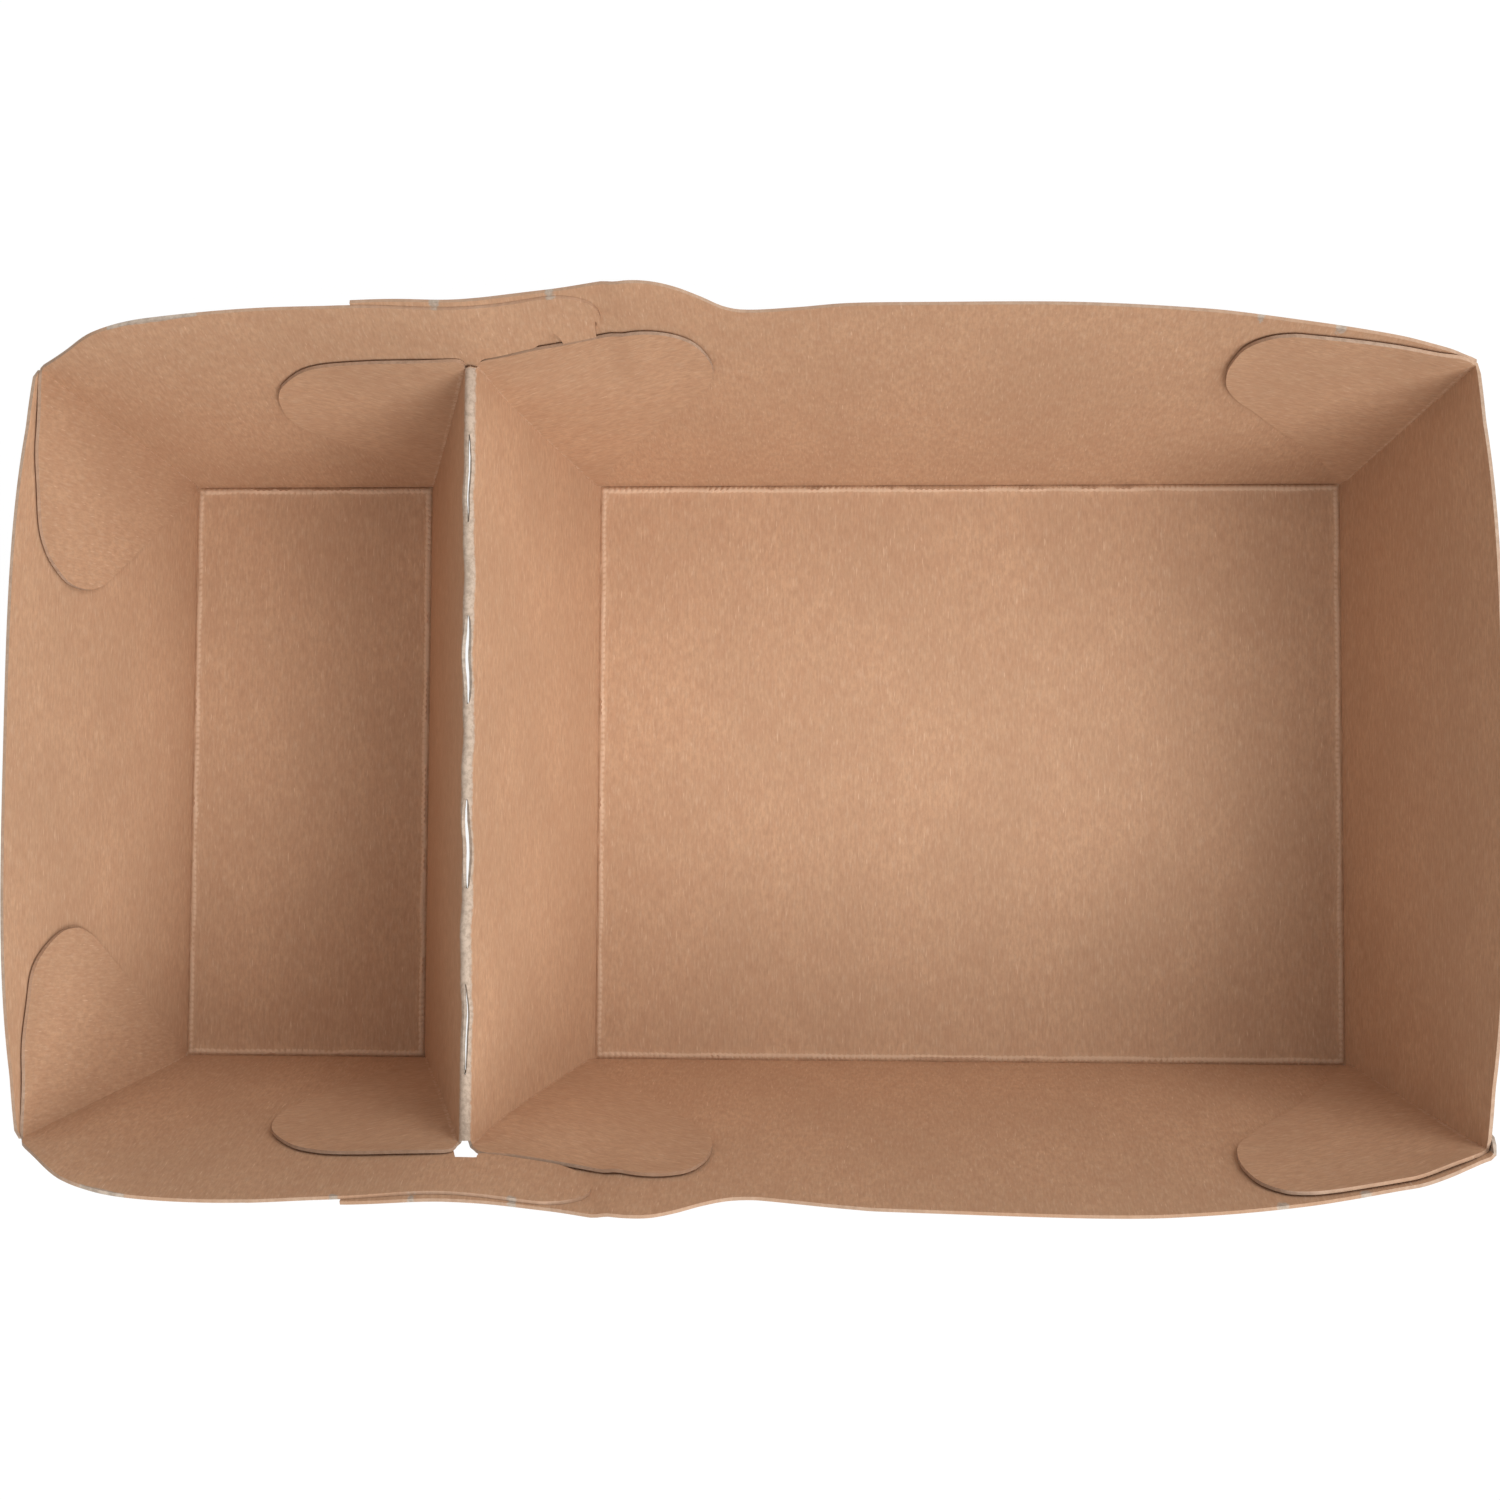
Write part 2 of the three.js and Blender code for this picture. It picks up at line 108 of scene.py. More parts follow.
# How far each long wall bows outwards: place from the crest, bow
BOWS = {
    BACK: [
        (-62, 0), (-51, 0.7), (-42, 2.0), (-28, 3.3), (-14, 3.5), (0, 2.7), (13, 3.5), (27, 4.25),
        (47, 4.35), (63, 4.1), (83, 3.9), (100, 3.2), (113, 2.2), (127, 1.0), (139, 0),
    ],
    FRONT: [
        (-62, 0), (-51, 2.2), (-42, 3.9), (-29, 4.6), (-14, 3.9), (0, 2.65), (14, 3.4), (28, 4.25),
        (47, 4.95), (63, 5.3), (86, 5.8), (99, 5.6), (112, 4.8), (126, 3.2), (139, 1.0),
    ],
}

# Rim of each long wall: place from the crest, height up the wall
RIMS = {
    BACK: [
        (-60.7, 47.5), (-59.3, 48.9), (-55.1, 53.0), (-51.2, 56.8), (-48.4, 58.4), (-44.9, 59.2),
        (-40, 59.4), (-28, 59.3), (-21, 59.3), (-14, 59.8), (-7, 60.5), (0, 60.8), (6.5, 61.2),
        (13.3, 61.8), (20.1, 63.0), (23.5, 63.7), (26.8, 63.3), (30, 61.9), (33.2, 59.6), (36.4, 57.0),
        (39.8, 56.2), (46.5, 56.8), (53.3, 57.8), (63.3, 58.2), (83.3, 58.3), (99.8, 57.7), (106.5, 57.1),
        (113.2, 56.2), (120, 55.1), (126.8, 53.5), (133.4, 51.1), (136.4, 49.0), (138.2, 47.5),
        (139.6, 45.8), (140.4, 44.0),
    ],
    FRONT: [
        (-60.7, 47.5), (-58.5, 51.3), (-54.1, 56.3), (-50.6, 58.8), (-47.2, 59.7), (-42.3, 59.8),
        (-29, 59.3), (-19, 59.2), (-12.1, 59.9), (-5.4, 60.5), (1.3, 60.9), (7.9, 61.1), (14.6, 61.8),
        (21.3, 63.1), (24.6, 63.4), (27.8, 62.9), (30.9, 61.2), (34, 58.9), (37.2, 57.1), (40.4, 56.4),
        (43.7, 56.6), (53.6, 57.9), (60.2, 58.3), (86.2, 58.2), (99.2, 57.7), (112.2, 56.5),
        (118.8, 55.5), (125.6, 54.2), (131.9, 53.4), (135.0, 52.1), (137.3, 50.3), (139.0, 48.8),
        (140.6, 47.7), (142.0, 46.4),
    ],
}


def smooth(start, end, value):
    t = np.clip((np.asarray(value, float) - start) / (end - start), 0, 1)
    return t * t * (3 - 2 * t)


def curve(points, steps=12):
    """A smooth curve through the points, as a dense run of points."""
    ends = np.array([points[0], *points, points[-1]], float)
    runs = []
    t = np.linspace(0, 1, steps, endpoint=False)[:, None]
    for a, b, c, d in zip(ends, ends[1:], ends[2:], ends[3:]):
        bend = (2 * a - 5 * b + 4 * c - d) * t ** 2 + (3 * b - a - 3 * c + d) * t ** 3
        runs.append(0.5 * (2 * b + (c - a) * t + bend))
    return np.concatenate([*runs, ends[-1:]])


def resample(points, step):
    """The same line with even steps of about the given length."""
    points = np.asarray(points, float)
    run = np.concatenate([[0], np.cumsum(np.hypot(*np.diff(points, axis=0).T))])
    count = max(int(round(run[-1] / step)), 1)
    places = np.linspace(0, run[-1], count + 1)
    return np.column_stack([np.interp(places, run, points[:, 0]), np.interp(places, run, points[:, 1])])


def ramp(start, end, step):
    return np.linspace(start, end, max(int(round(abs(end - start) / step)), 1) + 1)


def along_x(xs, y):
    """Points at the given places along a line of one Y, or of one height."""
    return np.column_stack([xs, np.full(len(xs), y)])


def along_y(x, ys):
    return np.column_stack([np.full(len(ys), x), ys])


BOW_CURVES = {side: curve(points) for side, points in BOWS.items()}
RIM_CURVES = {side: curve(points) for side, points in RIMS.items()}


def rim_height(side, x):
    return np.interp(x - CREST, *RIM_CURVES[side].T)


def bow_of(side, x, up):
    """The bow, which fades to nothing at the corner folds."""
    away = np.minimum(x - (SMALL_LEFT - up * CORNER_RUN), LARGE_RIGHT + up * CORNER_RUN - x)
    return np.interp(x - CREST, *BOW_CURVES[side].T) * smooth(0, BOW_FADE, away)


def on_long_wall(side, x, up, out=0.0):
    """A point on a long wall, from its place along X, its height up the wall and its distance out."""
    x, up, out = np.broadcast_arrays(np.asarray(x, float), up, out)
    full = bow_of(side, x, up)
    power = BOW_POWER + RIDGE_STRAIGHTENS * np.exp(-((x - CREST) / RIDGE_REACH) ** 2)
    share = np.maximum(up, 0) / BOW_HEIGHT
    bow = full * share ** power
    lean = LONG_LEAN + np.arctan(full * power * share ** (power - 1) / BOW_HEIGHT)
    y = HALF_WIDTH + up * math.sin(LONG_LEAN) + bow * math.cos(LONG_LEAN) + out * np.cos(lean)
    z = up * math.cos(LONG_LEAN) - bow * math.sin(LONG_LEAN) - out * np.sin(lean)
    return np.column_stack([x, side * y, z])


def on_end_wall(side, y, up, out=0.0):
    """A point on an end wall, from its place along Y, its height up the wall and its distance out."""
    y, up, out = np.broadcast_arrays(np.asarray(y, float), up, out)
    t = np.clip(np.abs(y) / HALF_WIDTH, 0, 1)
    out = END_BOW * (1 - t ** 3) * (up / END_MIDDLE) ** 2 + out
    fold = LARGE_RIGHT if side == RIGHT else SMALL_LEFT
    x = fold + side * (up * math.sin(END_LEAN) + out * math.cos(END_LEAN))
    return np.column_stack([x, y, up * math.cos(END_LEAN) - out * math.sin(END_LEAN)])


def inside(points, loop):
    """Which points lie inside a closed loop."""
    found = np.zeros(len(points), bool)
    for (ax, ay), (bx, by) in zip(loop, np.roll(loop, -1, axis=0)):
        if ay == by:
            continue
        crosses = (ay > points[:, 1]) != (by > points[:, 1])
        found ^= crosses & (points[:, 0] < (bx - ax) * (points[:, 1] - ay) / (by - ay) + ax)
    return found


def distance_to(points, loop):
    return distance_to_line(points, np.concatenate([loop, loop[:1]]))


def distance_to_line(points, line):
    best = np.full(len(points), np.inf)
    for a, b in zip(line, line[1:]):
        along = b - a
        t = np.clip(((points - a) @ along) / max(along @ along, 1e-12), 0, 1)
        best = np.minimum(best, np.hypot(*(points - a - t[:, None] * along).T))
    return best


def outline_of(runs):
    """One closed loop of points, and which of them lie on a fold."""
    loop, folded = [], []
    for points, is_fold in runs:
        for point in np.asarray(points, float):
            if loop and np.hypot(*(loop[-1] - point)) < SAME_POINT:
                folded[-1] = folded[-1] or is_fold
                continue
            loop.append(point)
            folded.append(is_fold)
    if np.hypot(*(loop[0] - loop[-1])) < SAME_POINT:
        folded[0] = folded[0] or folded[-1]
        loop.pop()
        folded.pop()
    return np.array(loop), folded


def grid_inside(loop, holes, step, margin):
    """An even grid of points inside a loop, clear of its edge and of its holes."""
    low, high = loop.min(axis=0), loop.max(axis=0)
    cells = np.maximum(np.round((high - low) / step), 1).astype(int)
    lines = [np.linspace(a, b, n + 1) for a, b, n in zip(low, high, cells)]
    grid = np.stack(np.meshgrid(*lines), -1).reshape(-1, 2)
    keep = inside(grid, loop) & (distance_to(grid, loop) > margin * step)
    for hole in holes:
        keep &= ~inside(grid, hole) & (distance_to(grid, hole) > HOLE_MARGIN * step)
    return grid[keep]


def triangulated(points, loop, holes, flip):
    """Triangles between the points, of which the loop and then the holes come first."""
    edges = []
    start = 0
    for ring in (loop, *holes):
        count = len(ring)
        edges += [(start + i, start + (i + 1) % count) for i in range(count)]
        start += count
    out = delaunay_2d_cdt([Vector(p) for p in points], edges, [], 0, 1e-5, True)
    source = [ids[0] if ids else -1 for ids in out[3]]
    if min(source) < 0:
        raise RuntimeError("two lines of a panel's outline cross")
    triangles = np.array(source)[np.array(out[2])]
    centres = points[triangles].mean(axis=1)
    kept = inside(centres, loop)
    for hole in holes:
        kept &= ~inside(centres, hole)
    triangles = triangles[kept]
    a, b, c = (points[triangles[:, i]] for i in range(3))
    turns = (b[:, 0] - a[:, 0]) * (c[:, 1] - a[:, 1]) - (b[:, 1] - a[:, 1]) * (c[:, 0] - a[:, 0])
    whole = np.abs(turns) > SMALLEST_TURN
    triangles = triangles[whole]
    backwards = (turns[whole] < 0) != flip
    triangles[backwards] = triangles[backwards][:, ::-1]
    return triangles


class Blank:
    """The flat panels of one die-cut blank, and the sheet that they fold into."""

    def __init__(self):
        self.places = []        # folded places of the food side
        self.flat = []          # places on the unfolded blank
        self.on_fold = []
        self.lift = []          # how far the crease bead lifts the food side
        self.pale = []          # how pale the board's core shows on this panel's cut edges
        self.torn = []          # where the surface is torn down to the core
        self.faces = []
        self.count = 0

    def panel(self, runs, place, to_blank, step, flip=False, extra=(), holes=(), margin=0.5,
              lift=None, pale=1.0, torn=None):
        """Adds one panel.

        runs: pieces of the outline in order round it, each (points, whether it is a fold).
        place and to_blank carry the panel's own flat points to the folded tray and to the blank.
        """
        loop, folded = outline_of(runs)
        points = np.concatenate([loop, *holes, *extra, grid_inside(loop, holes, step, margin)])
        triangles = triangulated(points, loop, holes, flip)
        used = np.unique(triangles)
        index = np.full(len(points), -1)
        index[used] = np.arange(len(used))
        flags = np.zeros(len(points), bool)
        flags[:len(loop)] = folded
        points = points[used]
        self.places.append(place(points[:, 0], points[:, 1]))
        self.flat.append(to_blank(points))
        self.on_fold.append(flags[used])
        self.lift.append(np.zeros(len(points)) if lift is None else lift(points))
        self.pale.append(np.full(len(points), pale))
        self.torn.append(np.zeros(len(points)) if torn is None else torn(points))
        self.faces.append(index[triangles] + self.count)
        self.count += len(used)

    def joined(self):
        """The whole food side, with the panels joined along their folds."""
        parts = self.places, self.flat, self.lift, self.pale, self.torn, self.faces, self.on_fold
        places, flat, lift, pale, torn, faces, on_fold = (np.concatenate(part) for part in parts)
        folds = np.flatnonzero(on_fold)
        target = np.arange(len(places))
        spots = places[folds]
        for i, spot in enumerate(spots):
            near = np.flatnonzero(np.abs(spots[:i] - spot).max(axis=1) < JOIN_REACH)
            if len(near):
                target[folds[i]] = target[folds[near[0]]]
        used = np.unique(target)
        index = np.full(len(places), -1)
        index[used] = np.arange(len(used))
        corner_flat = flat[faces]
        corner_pale = pale[faces]
        faces = index[target[faces]]
        whole = (faces[:, 0] != faces[:, 1]) & (faces[:, 1] != faces[:, 2]) & (faces[:, 2] != faces[:, 0])
        return places[used], lift[used], torn[used], faces[whole], corner_flat[whole], corner_pale[whole]


def turned(fold, blank_fold, mirror):
    """Carries a flap's own flat places to the blank, so that its fold lies on its neighbour's."""
    def number(p):
        value = p[..., 0] + 1j * p[..., 1]
        return np.conj(value) if mirror else value
    a, b = number(fold[0]), number(fold[-1])
    c, d = (p[0] + 1j * p[1] for p in (blank_fold[0], blank_fold[-1]))
    spin = (d - c) / (b - a)
    spin /= abs(spin)

    def carry(points):
        value = (number(points) - a) * spin + c
        return np.column_stack([value.real, value.imag])
    return carry


# Outlines of the glue flaps. Left end: place along Y, height. Others: place along X, height.
END_FLAPS = {
    BACK: [
        (43.5, 48.4), (36.6, 47.2), (31.4, 46.1), (28.1, 44.1), (26.2, 41.7), (24.6, 38.5), (24.2, 34.8),
        (24.6, 31.6), (25.6, 28.7), (27.6, 25.6),
    ],
    FRONT: [
        (42.0, 48.0), (35.0, 46.5), (30.8, 45.4), (28.0, 43.0), (25.4, 38.7), (24.7, 35.1), (25.0, 32.2),
        (26.1, 29.2), (28.0, 26.2),
    ],
}
CORNER_FLAPS = {    # from the right end wall's fold
    BACK: [
        (7.3, 50.0), (4.2, 50.9), (-5.0, 52.8), (-13.2, 53.6), (-16.0, 53.6), (-18.9, 52.4),
        (-21.5, 49.4), (-22.8, 44.6), (-22.9, 40.9), (-22.2, 37.4), (-20.2, 33.6), (-15.3, 26.6),
        (-10.6, 20.0), (-5.7, 13.3),
    ],
    FRONT: [
        (8.2, 49.7), (4.7, 51.9), (-5.3, 53.8), (-12.1, 54.8), (-15.4, 54.7), (-17.9, 53.8),
        (-20.6, 50.9), (-22.1, 46.5), (-22.3, 42.5), (-21.6, 39.0), (-19.0, 34.4), (-15.5, 29.5),
        (-8.0, 18.5),
    ],
}
RIGHT_FLAPS = {     # from the crest
    BACK: [
        (1.9, 47.5), (4.7, 48.5), (9.5, 49.8), (13.7, 50.4), (19.5, 51.6), (24.1, 52.6), (28.3, 51.9),
        (31.6, 49.5), (33.5, 45.3), (33.8, 41.6), (32.7, 37.2), (30.4, 33.4), (23.3, 22.9), (17.0, 11.5),
    ],
    FRONT: [
        (3.6, 48.6), (8.2, 49.1), (13.4, 49.8), (18.7, 50.8), (25.8, 52.4), (30.9, 51.2), (33.4, 48.1),
        (34.4, 43.7), (33.9, 39.0), (30.4, 32.4), (20.7, 18.4), (16.0, 11.5),
    ],
}
LEFT_FLAPS = {      # from the crest
    BACK: [
        (-0.9, 48.3), (-5.1, 48.2), (-9.5, 47.6), (-15.8, 46.4), (-21.4, 45.1), (-24.7, 43.3),
        (-27.9, 39.6), (-29.2, 36.5), (-29.6, 33.2), (-29.4, 29.6), (-27.8, 25.4), (-24.7, 21.4),
        (-19.9, 16.8), (-16.5, 11.3),
    ],
    FRONT: [
        (-0.6, 49.0), (-3.3, 49.5), (-7.5, 49.1), (-15.6, 47.5), (-19.3, 46.4), (-23.4, 44.1),
        (-26.9, 40.0), (-28.2, 37.0), (-28.4, 33.7), (-27.6, 29.8), (-24.6, 23.3), (-20.5, 15.8),
        (-17.0, 10.0),
    ],
}
# The small walls' tabs over the divider: their rim, and their round end from its top down
TAB_RIMS = {
    BACK: [
        (-26, 59.3), (-19, 59.25), (-15, 59.4), (-9, 59.6), (-3.1, 59.8), (6.4, 60.2), (12.7, 61.0),
        (15.0, 60.9),
    ],
    FRONT: [
        (-26, 59.3), (-19, 59.15), (-12.7, 59.3), (-5.4, 59.6), (1.4, 60.0), (7.5, 60.5), (11.7, 61.0),
        (14.0, 61.1),
    ],
}
SMALL_TABS = {
    BACK: [
        (16.7, 60.4), (18.2, 59.4), (19.1, 58.0), (19.4, 56.5), (19.3, 55.0), (19.0, 53.5), (18.4, 52.0),
    ],
    FRONT: [
        (16.2, 60.6), (18.1, 59.5), (19.2, 57.9), (19.3, 56.0), (18.6, 54.0), (17.3, 52.3), (15.7, 51.0),
    ],
}
LARGE_TAB_ENDS = {BACK: 14.2, FRONT: 13.6}      # how far the large walls' tabs reach past the crest
# Flat top of the opening under the divider: from, to, height
MOUTHS = {BACK: (-0.4, 1.6, 44.6), FRONT: (0.2, 3.1, 50.3)}
# How far the crest stops short of the flaps' folds. At the back it reaches past them.
CREST_END_CUT = {BACK: -0.35, FRONT: 0.1}
FOLD_END = 1.6              # the flaps' folds end this far from the crest
WALL_PALE = 0.35            # how much pale core shows over the painted shade on the long walls' cut edges
END_PALE = 0.45             # and those of the end walls and the flaps
GROOVE_REACH = 0.2          # how far a fold's groove reaches up the wall
FLAP_GAP = 0.2              # between the small tab's lower edge and the flap below it
# Free edge of the large walls, which runs past the right corner: how far past, height
RIGHT_EDGES = {
    BACK: [(0.4, 6), (0.7, 22), (1.1, 36), (1.6, 42)],
    FRONT: [(0.4, 6), (0.9, 22), (1.6, 36), (2.6, 42), (3.4, 44.5)],
}
WRAP_RADIUS = 0.6           # of that edge's curl round the corner
CRUMPLE = 0.12              # how far the curled strip is crumpled

# How strongly each fold of the bottoms is creased. Small: the small bottom's fold at the divider.
BEAD_STRENGTH = {"back": 1.0, "front": 0.7, "small": 0.9, "left": 0.4, "large": 0.4}
GROOVE_WIDTH = 0.1
# The middle and the spread of a bead, and the rows of points along it, as shares of its width
BEAD_MIDDLE, BEAD_SPREAD = 0.55, 0.30
BEAD_ROWS = np.array([0.16, 0.32, 0.5, 0.68, 0.86, 1.1, 1.5]) / 0.9
# Small joints left by the cutting die, along the rims: places from the crest
NICKS = {BACK: (-2.6, 13.2, 108.0, 118.8), FRONT: (-14.5, -4.0, 9.4, 110.0, 121.0)}
# Places where the rim's surface is torn: from, to, depth
TEARS = {BACK: (-48.0, -35.5, 0.9), FRONT: (-48.5, -42.5, 0.8)}

SLITS = ((38.0, False), (12.7, True), (-12.7, True), (-38.1, False))    # place along Y, whether it gapes
SLIT_LENGTH = 12.4
SLIT_POINTS = 36
SLIT_ROUNDING = 0.8         # under 1 gives a slit fuller ends than an ellipse
CREST_ROWS = np.arange(-1.5, 1.51, 0.22)    # rows of points along the crest, round its fold
CREST_ROW_END = HALF_WIDTH + 7.5
CREST_RIPPLES = ((0.14, 0.31, 0.4), (0.07, 0.83, 0.0))      # height, turn for each millimetre, shift
LIFT_WIDTH = 4.5            # a flap's free edge lifts over this width
LIFT_START = 7              # and not within this distance of its fold


class Tray:
    """The panels of the folded tray, for one set of board sizes."""

    def __init__(self, sizes):
        self.board = sizes.board / MM
        self.lap = self.board + sizes.glue_gap / MM
        self.bead_width = sizes.bead_width / MM
        self.bead_height = sizes.bead_height / MM
        self.groove_depth = sizes.groove_depth / MM
        self.crest_radius = sizes.crest_radius / MM
        self.open_slit = sizes.open_slit / MM
        self.closed_slit = sizes.closed_slit / MM
        self.edge_lift = sizes.edge_lift / MM
        self.blank = Blank()
        self.section()

    # Layers of board at the glued laps

    def step_out(self, x, up):
        """The large wall stands out by one board where the small wall's tab lies inside it."""
        past = x - CREST
        return self.lap * (1 - smooth(*STEP_ACROSS, past)) * smooth(*STEP_UP, up)

    def flap_in(self, up):
        return -self.lap * smooth(0, TAPER, up)

    # The divider's section

    def section(self):
        crest = CREST + CREST_LEAN
        radius = self.crest_radius
        centre = np.array([crest, CREST_HEIGHT - self.board - radius])
        line = []
        for foot in (SMALL_RIGHT, LARGE_LEFT):
            side = -1 if foot < crest else 1
            reach = np.array([abs(crest - foot), centre[1]])
            lean = math.atan2(reach[0], reach[1]) - math.asin(radius / np.hypot(*reach))
            turns = np.linspace(lean, math.pi / 2, 6)
            arc = centre + radius * np.column_stack([side * np.cos(turns), np.sin(turns)])
            straight = np.linspace((foot, 0), arc[0], 30)
            half = np.concatenate([straight[:-1], arc])
            line.append(half if side < 0 else half[::-1])
        self.profile = np.concatenate([line[0], line[1][1:]])
        self.run = np.concatenate([[0], np.cumsum(np.hypot(*np.diff(self.profile, axis=0).T))])
        self.crest_run = self.run[len(line[0]) - 1]

    def on_divider(self, run, y):
        x = np.interp(run, self.run, self.profile[:, 0])
        z = np.interp(run, self.run, self.profile[:, 1])
        y = np.broadcast_to(y, np.shape(x))
        share = z / CREST_HEIGHT
        sway = -CREST_SWAY * np.clip(y / 40, -1, 1) * share
        ripple = sum(high * np.sin(turn * y + shift) for high, turn, shift in CREST_RIPPLES)
        ripple = ripple * smooth(44, 36, np.abs(y)) * share ** 4
        return np.column_stack([x + sway + ripple, y, z])

    # Places on the layers

    def lifted(self, points, edge, fold):
        """How far a flap's free edge stands off the wall that it is glued to."""
        near_edge = 1 - smooth(0, LIFT_WIDTH, distance_to_line(points, edge))
        return -self.edge_lift * near_edge * smooth(0, LIFT_START, distance_to_line(points, fold))

    def large_wall_at(self, side):
        def place(x, up):
            corner = LARGE_RIGHT + up * CORNER_RUN
            past = np.maximum(x - corner, 0)
            turn = np.minimum(past / WRAP_RADIUS, math.pi / 2)
            wrapped = np.minimum(x, corner + WRAP_RADIUS * np.sin(turn))
            spots = on_long_wall(side, wrapped, up, self.step_out(x, up))
            spots[:, 1] -= side * (past - WRAP_RADIUS * turn + WRAP_RADIUS * (1 - np.cos(turn)))
            crumple = np.sin(1.9 * up + side + 0.8 * past) * np.sin(0.7 * up - 1.3 * past)
            spots[:, 0] += CRUMPLE * crumple * smooth(0.5, 1.5, turn)
            return spots
        return place

    def end_flap(self, y, up, off=0):
        return on_end_wall(LEFT, y, up, self.flap_in(up) + off)

    def flap_at(self, side, steps_out=False):
        """Places on a flap inside a long wall, which steps out with the large wall if it is glued to it."""
        def place(x, up, off=0):
            step = self.step_out(x, up) if steps_out else 0
            return on_long_wall(side, x, up, step + self.flap_in(up) + off)
        return place

    # Fold lines that two panels share

    def divider_fold(self, side, towards):
        """Where the divider turns into its flap: places on the divider, and on the flap."""
        if towards == LEFT:
            runs = ramp(0, self.crest_run - FOLD_END, FLAP_FOLD_STEP)
        else:
            runs = ramp(self.run[-1], self.crest_run + FOLD_END, FLAP_FOLD_STEP)
        points = self.on_divider(runs, side * HALF_WIDTH)
        x, z = points[:, 0], points[:, 2]
        place = self.flap_at(side, towards == RIGHT)
        up = z / math.cos(LONG_LEAN)
        for _ in range(40):
            up = np.maximum(up + (z - place(x, up)[:, 2]) / math.cos(LONG_LEAN), 0)
        y = place(x, up)[:, 1]
        return np.column_stack([runs, y]), np.column_stack([x, up])

    def left_corner_fold(self, side):
        """Where a small wall turns into its flap: places on the long wall, and on the flap."""
        top = CORNER_HEIGHT * math.cos(LONG_LEAN) / math.cos(END_LEAN)
        up = ramp(0, top, FLAP_FOLD_STEP)
        shift = -self.flap_in(up)
        z = up * math.cos(END_LEAN) + shift * math.sin(END_LEAN)
        x = SMALL_LEFT - up * math.sin(END_LEAN) + shift * math.cos(END_LEAN)
        wall_up = z / math.cos(LONG_LEAN)
        y = HALF_WIDTH + wall_up * math.sin(LONG_LEAN)
        return np.column_stack([x, wall_up]), np.column_stack([side * y, up])

    def right_corner_fold(self, side):
        """Where the right end wall turns into its flap: places on the end wall, and on the flap."""
        up = ramp(0, CORNER_HEIGHT, FLAP_FOLD_STEP)
        shift = -self.flap_in(up)
        z = up * math.cos(LONG_LEAN) + shift * math.sin(LONG_LEAN)
        y = HALF_WIDTH + up * math.sin(LONG_LEAN) - shift * math.cos(LONG_LEAN)
        wall_up = z / math.cos(END_LEAN)
        x = LARGE_RIGHT + wall_up * math.sin(END_LEAN)
        return np.column_stack([side * y, wall_up]), np.column_stack([x, up])

    # Panels

    def bead(self, away, along, strength):
        """Height of the groove on a fold and of the bead beside it, for a distance from the fold."""
        middle = BEAD_MIDDLE * self.bead_width * (1 + 0.16 * np.sin(along * 0.37) * np.sin(along * 0.113 + 1))
        height = self.bead_height * (1 + 0.35 * np.sin(along * 0.61 + 2) * np.sin(along * 0.171))
        raised = height * np.exp(-((away - middle) / (BEAD_SPREAD * self.bead_width)) ** 2)
        groove = self.groove_depth * (1 + 0.3 * np.sin(along * 0.9) * np.sin(along * 0.23 + 1))
        return raised * np.sqrt(strength) - groove * strength * np.exp(-(away / GROOVE_WIDTH) ** 2)

    def bottom(self, left, right):
        rows = []
        for inset in BEAD_ROWS * self.bead_width:
            a, b, c = left + inset, right - inset, HALF_WIDTH - inset
            xs, ys = ramp(a, b, FOLD_STEP), ramp(-c, c, FOLD_STEP)
            rows += [along_x(xs, -c), along_x(xs, c), along_y(a, ys[1:-1]), along_y(b, ys[1:-1])]
        xs, ys = ramp(left, right, FOLD_STEP), ramp(-HALF_WIDTH, HALF_WIDTH, FOLD_STEP)
        front, back = along_x(xs, -HALF_WIDTH), along_x(xs[::-1], HALF_WIDTH)
        sides = (front, along_y(right, ys), back, along_y(left, ys[::-1]))

        def lift(points):
            x, y = points.T
            to_side = HALF_WIDTH - np.abs(y)
            to_end = np.minimum(x - left, right - x)
            side = self.bead(to_side, x, np.where(y > 0, BEAD_STRENGTH["back"], BEAD_STRENGTH["front"]))
            is_small = left == SMALL_LEFT
            at_left = BEAD_STRENGTH["left"] if is_small else BEAD_STRENGTH["large"]
            at_right = BEAD_STRENGTH["small"] if is_small else BEAD_STRENGTH["large"]
            end = self.bead(to_end, y, np.where(right - x < x - left, at_right, at_left))
            return np.where(to_side < to_end, side, end)

        def place(x, y):
            return np.column_stack([x, y, np.zeros(len(x))])
        runs = [(line, True) for line in sides]
        self.blank.panel(runs, place, np.copy, WIDE_STEP, extra=rows, margin=1.0, lift=lift)

    def crest_end(self, side, left, right):
        """The divider's free end, between the folds of its two flaps."""
        a, b = left[-1], right[-1]
        short = CREST_END_CUT[side]
        reach = abs(a[1]) - short
        return np.array([
            a, (a[0] + 0.5, side * (reach + 0.3 * short)), (self.crest_run, side * reach),
            (b[0] - 0.5, side * (reach + 0.2 * short)), b,
        ])

    def slit_holes(self):
        turns = np.linspace(0, 2 * np.pi, SLIT_POINTS, endpoint=False)
        shape = np.abs(np.sin(turns)) ** SLIT_ROUNDING * np.sign(np.sin(turns))
        for place, gapes in SLITS:
            width = self.open_slit if gapes else self.closed_slit
            along = place + SLIT_LENGTH / 2 * np.cos(turns)
            yield np.column_stack([self.crest_run + shape * width / 2, along])

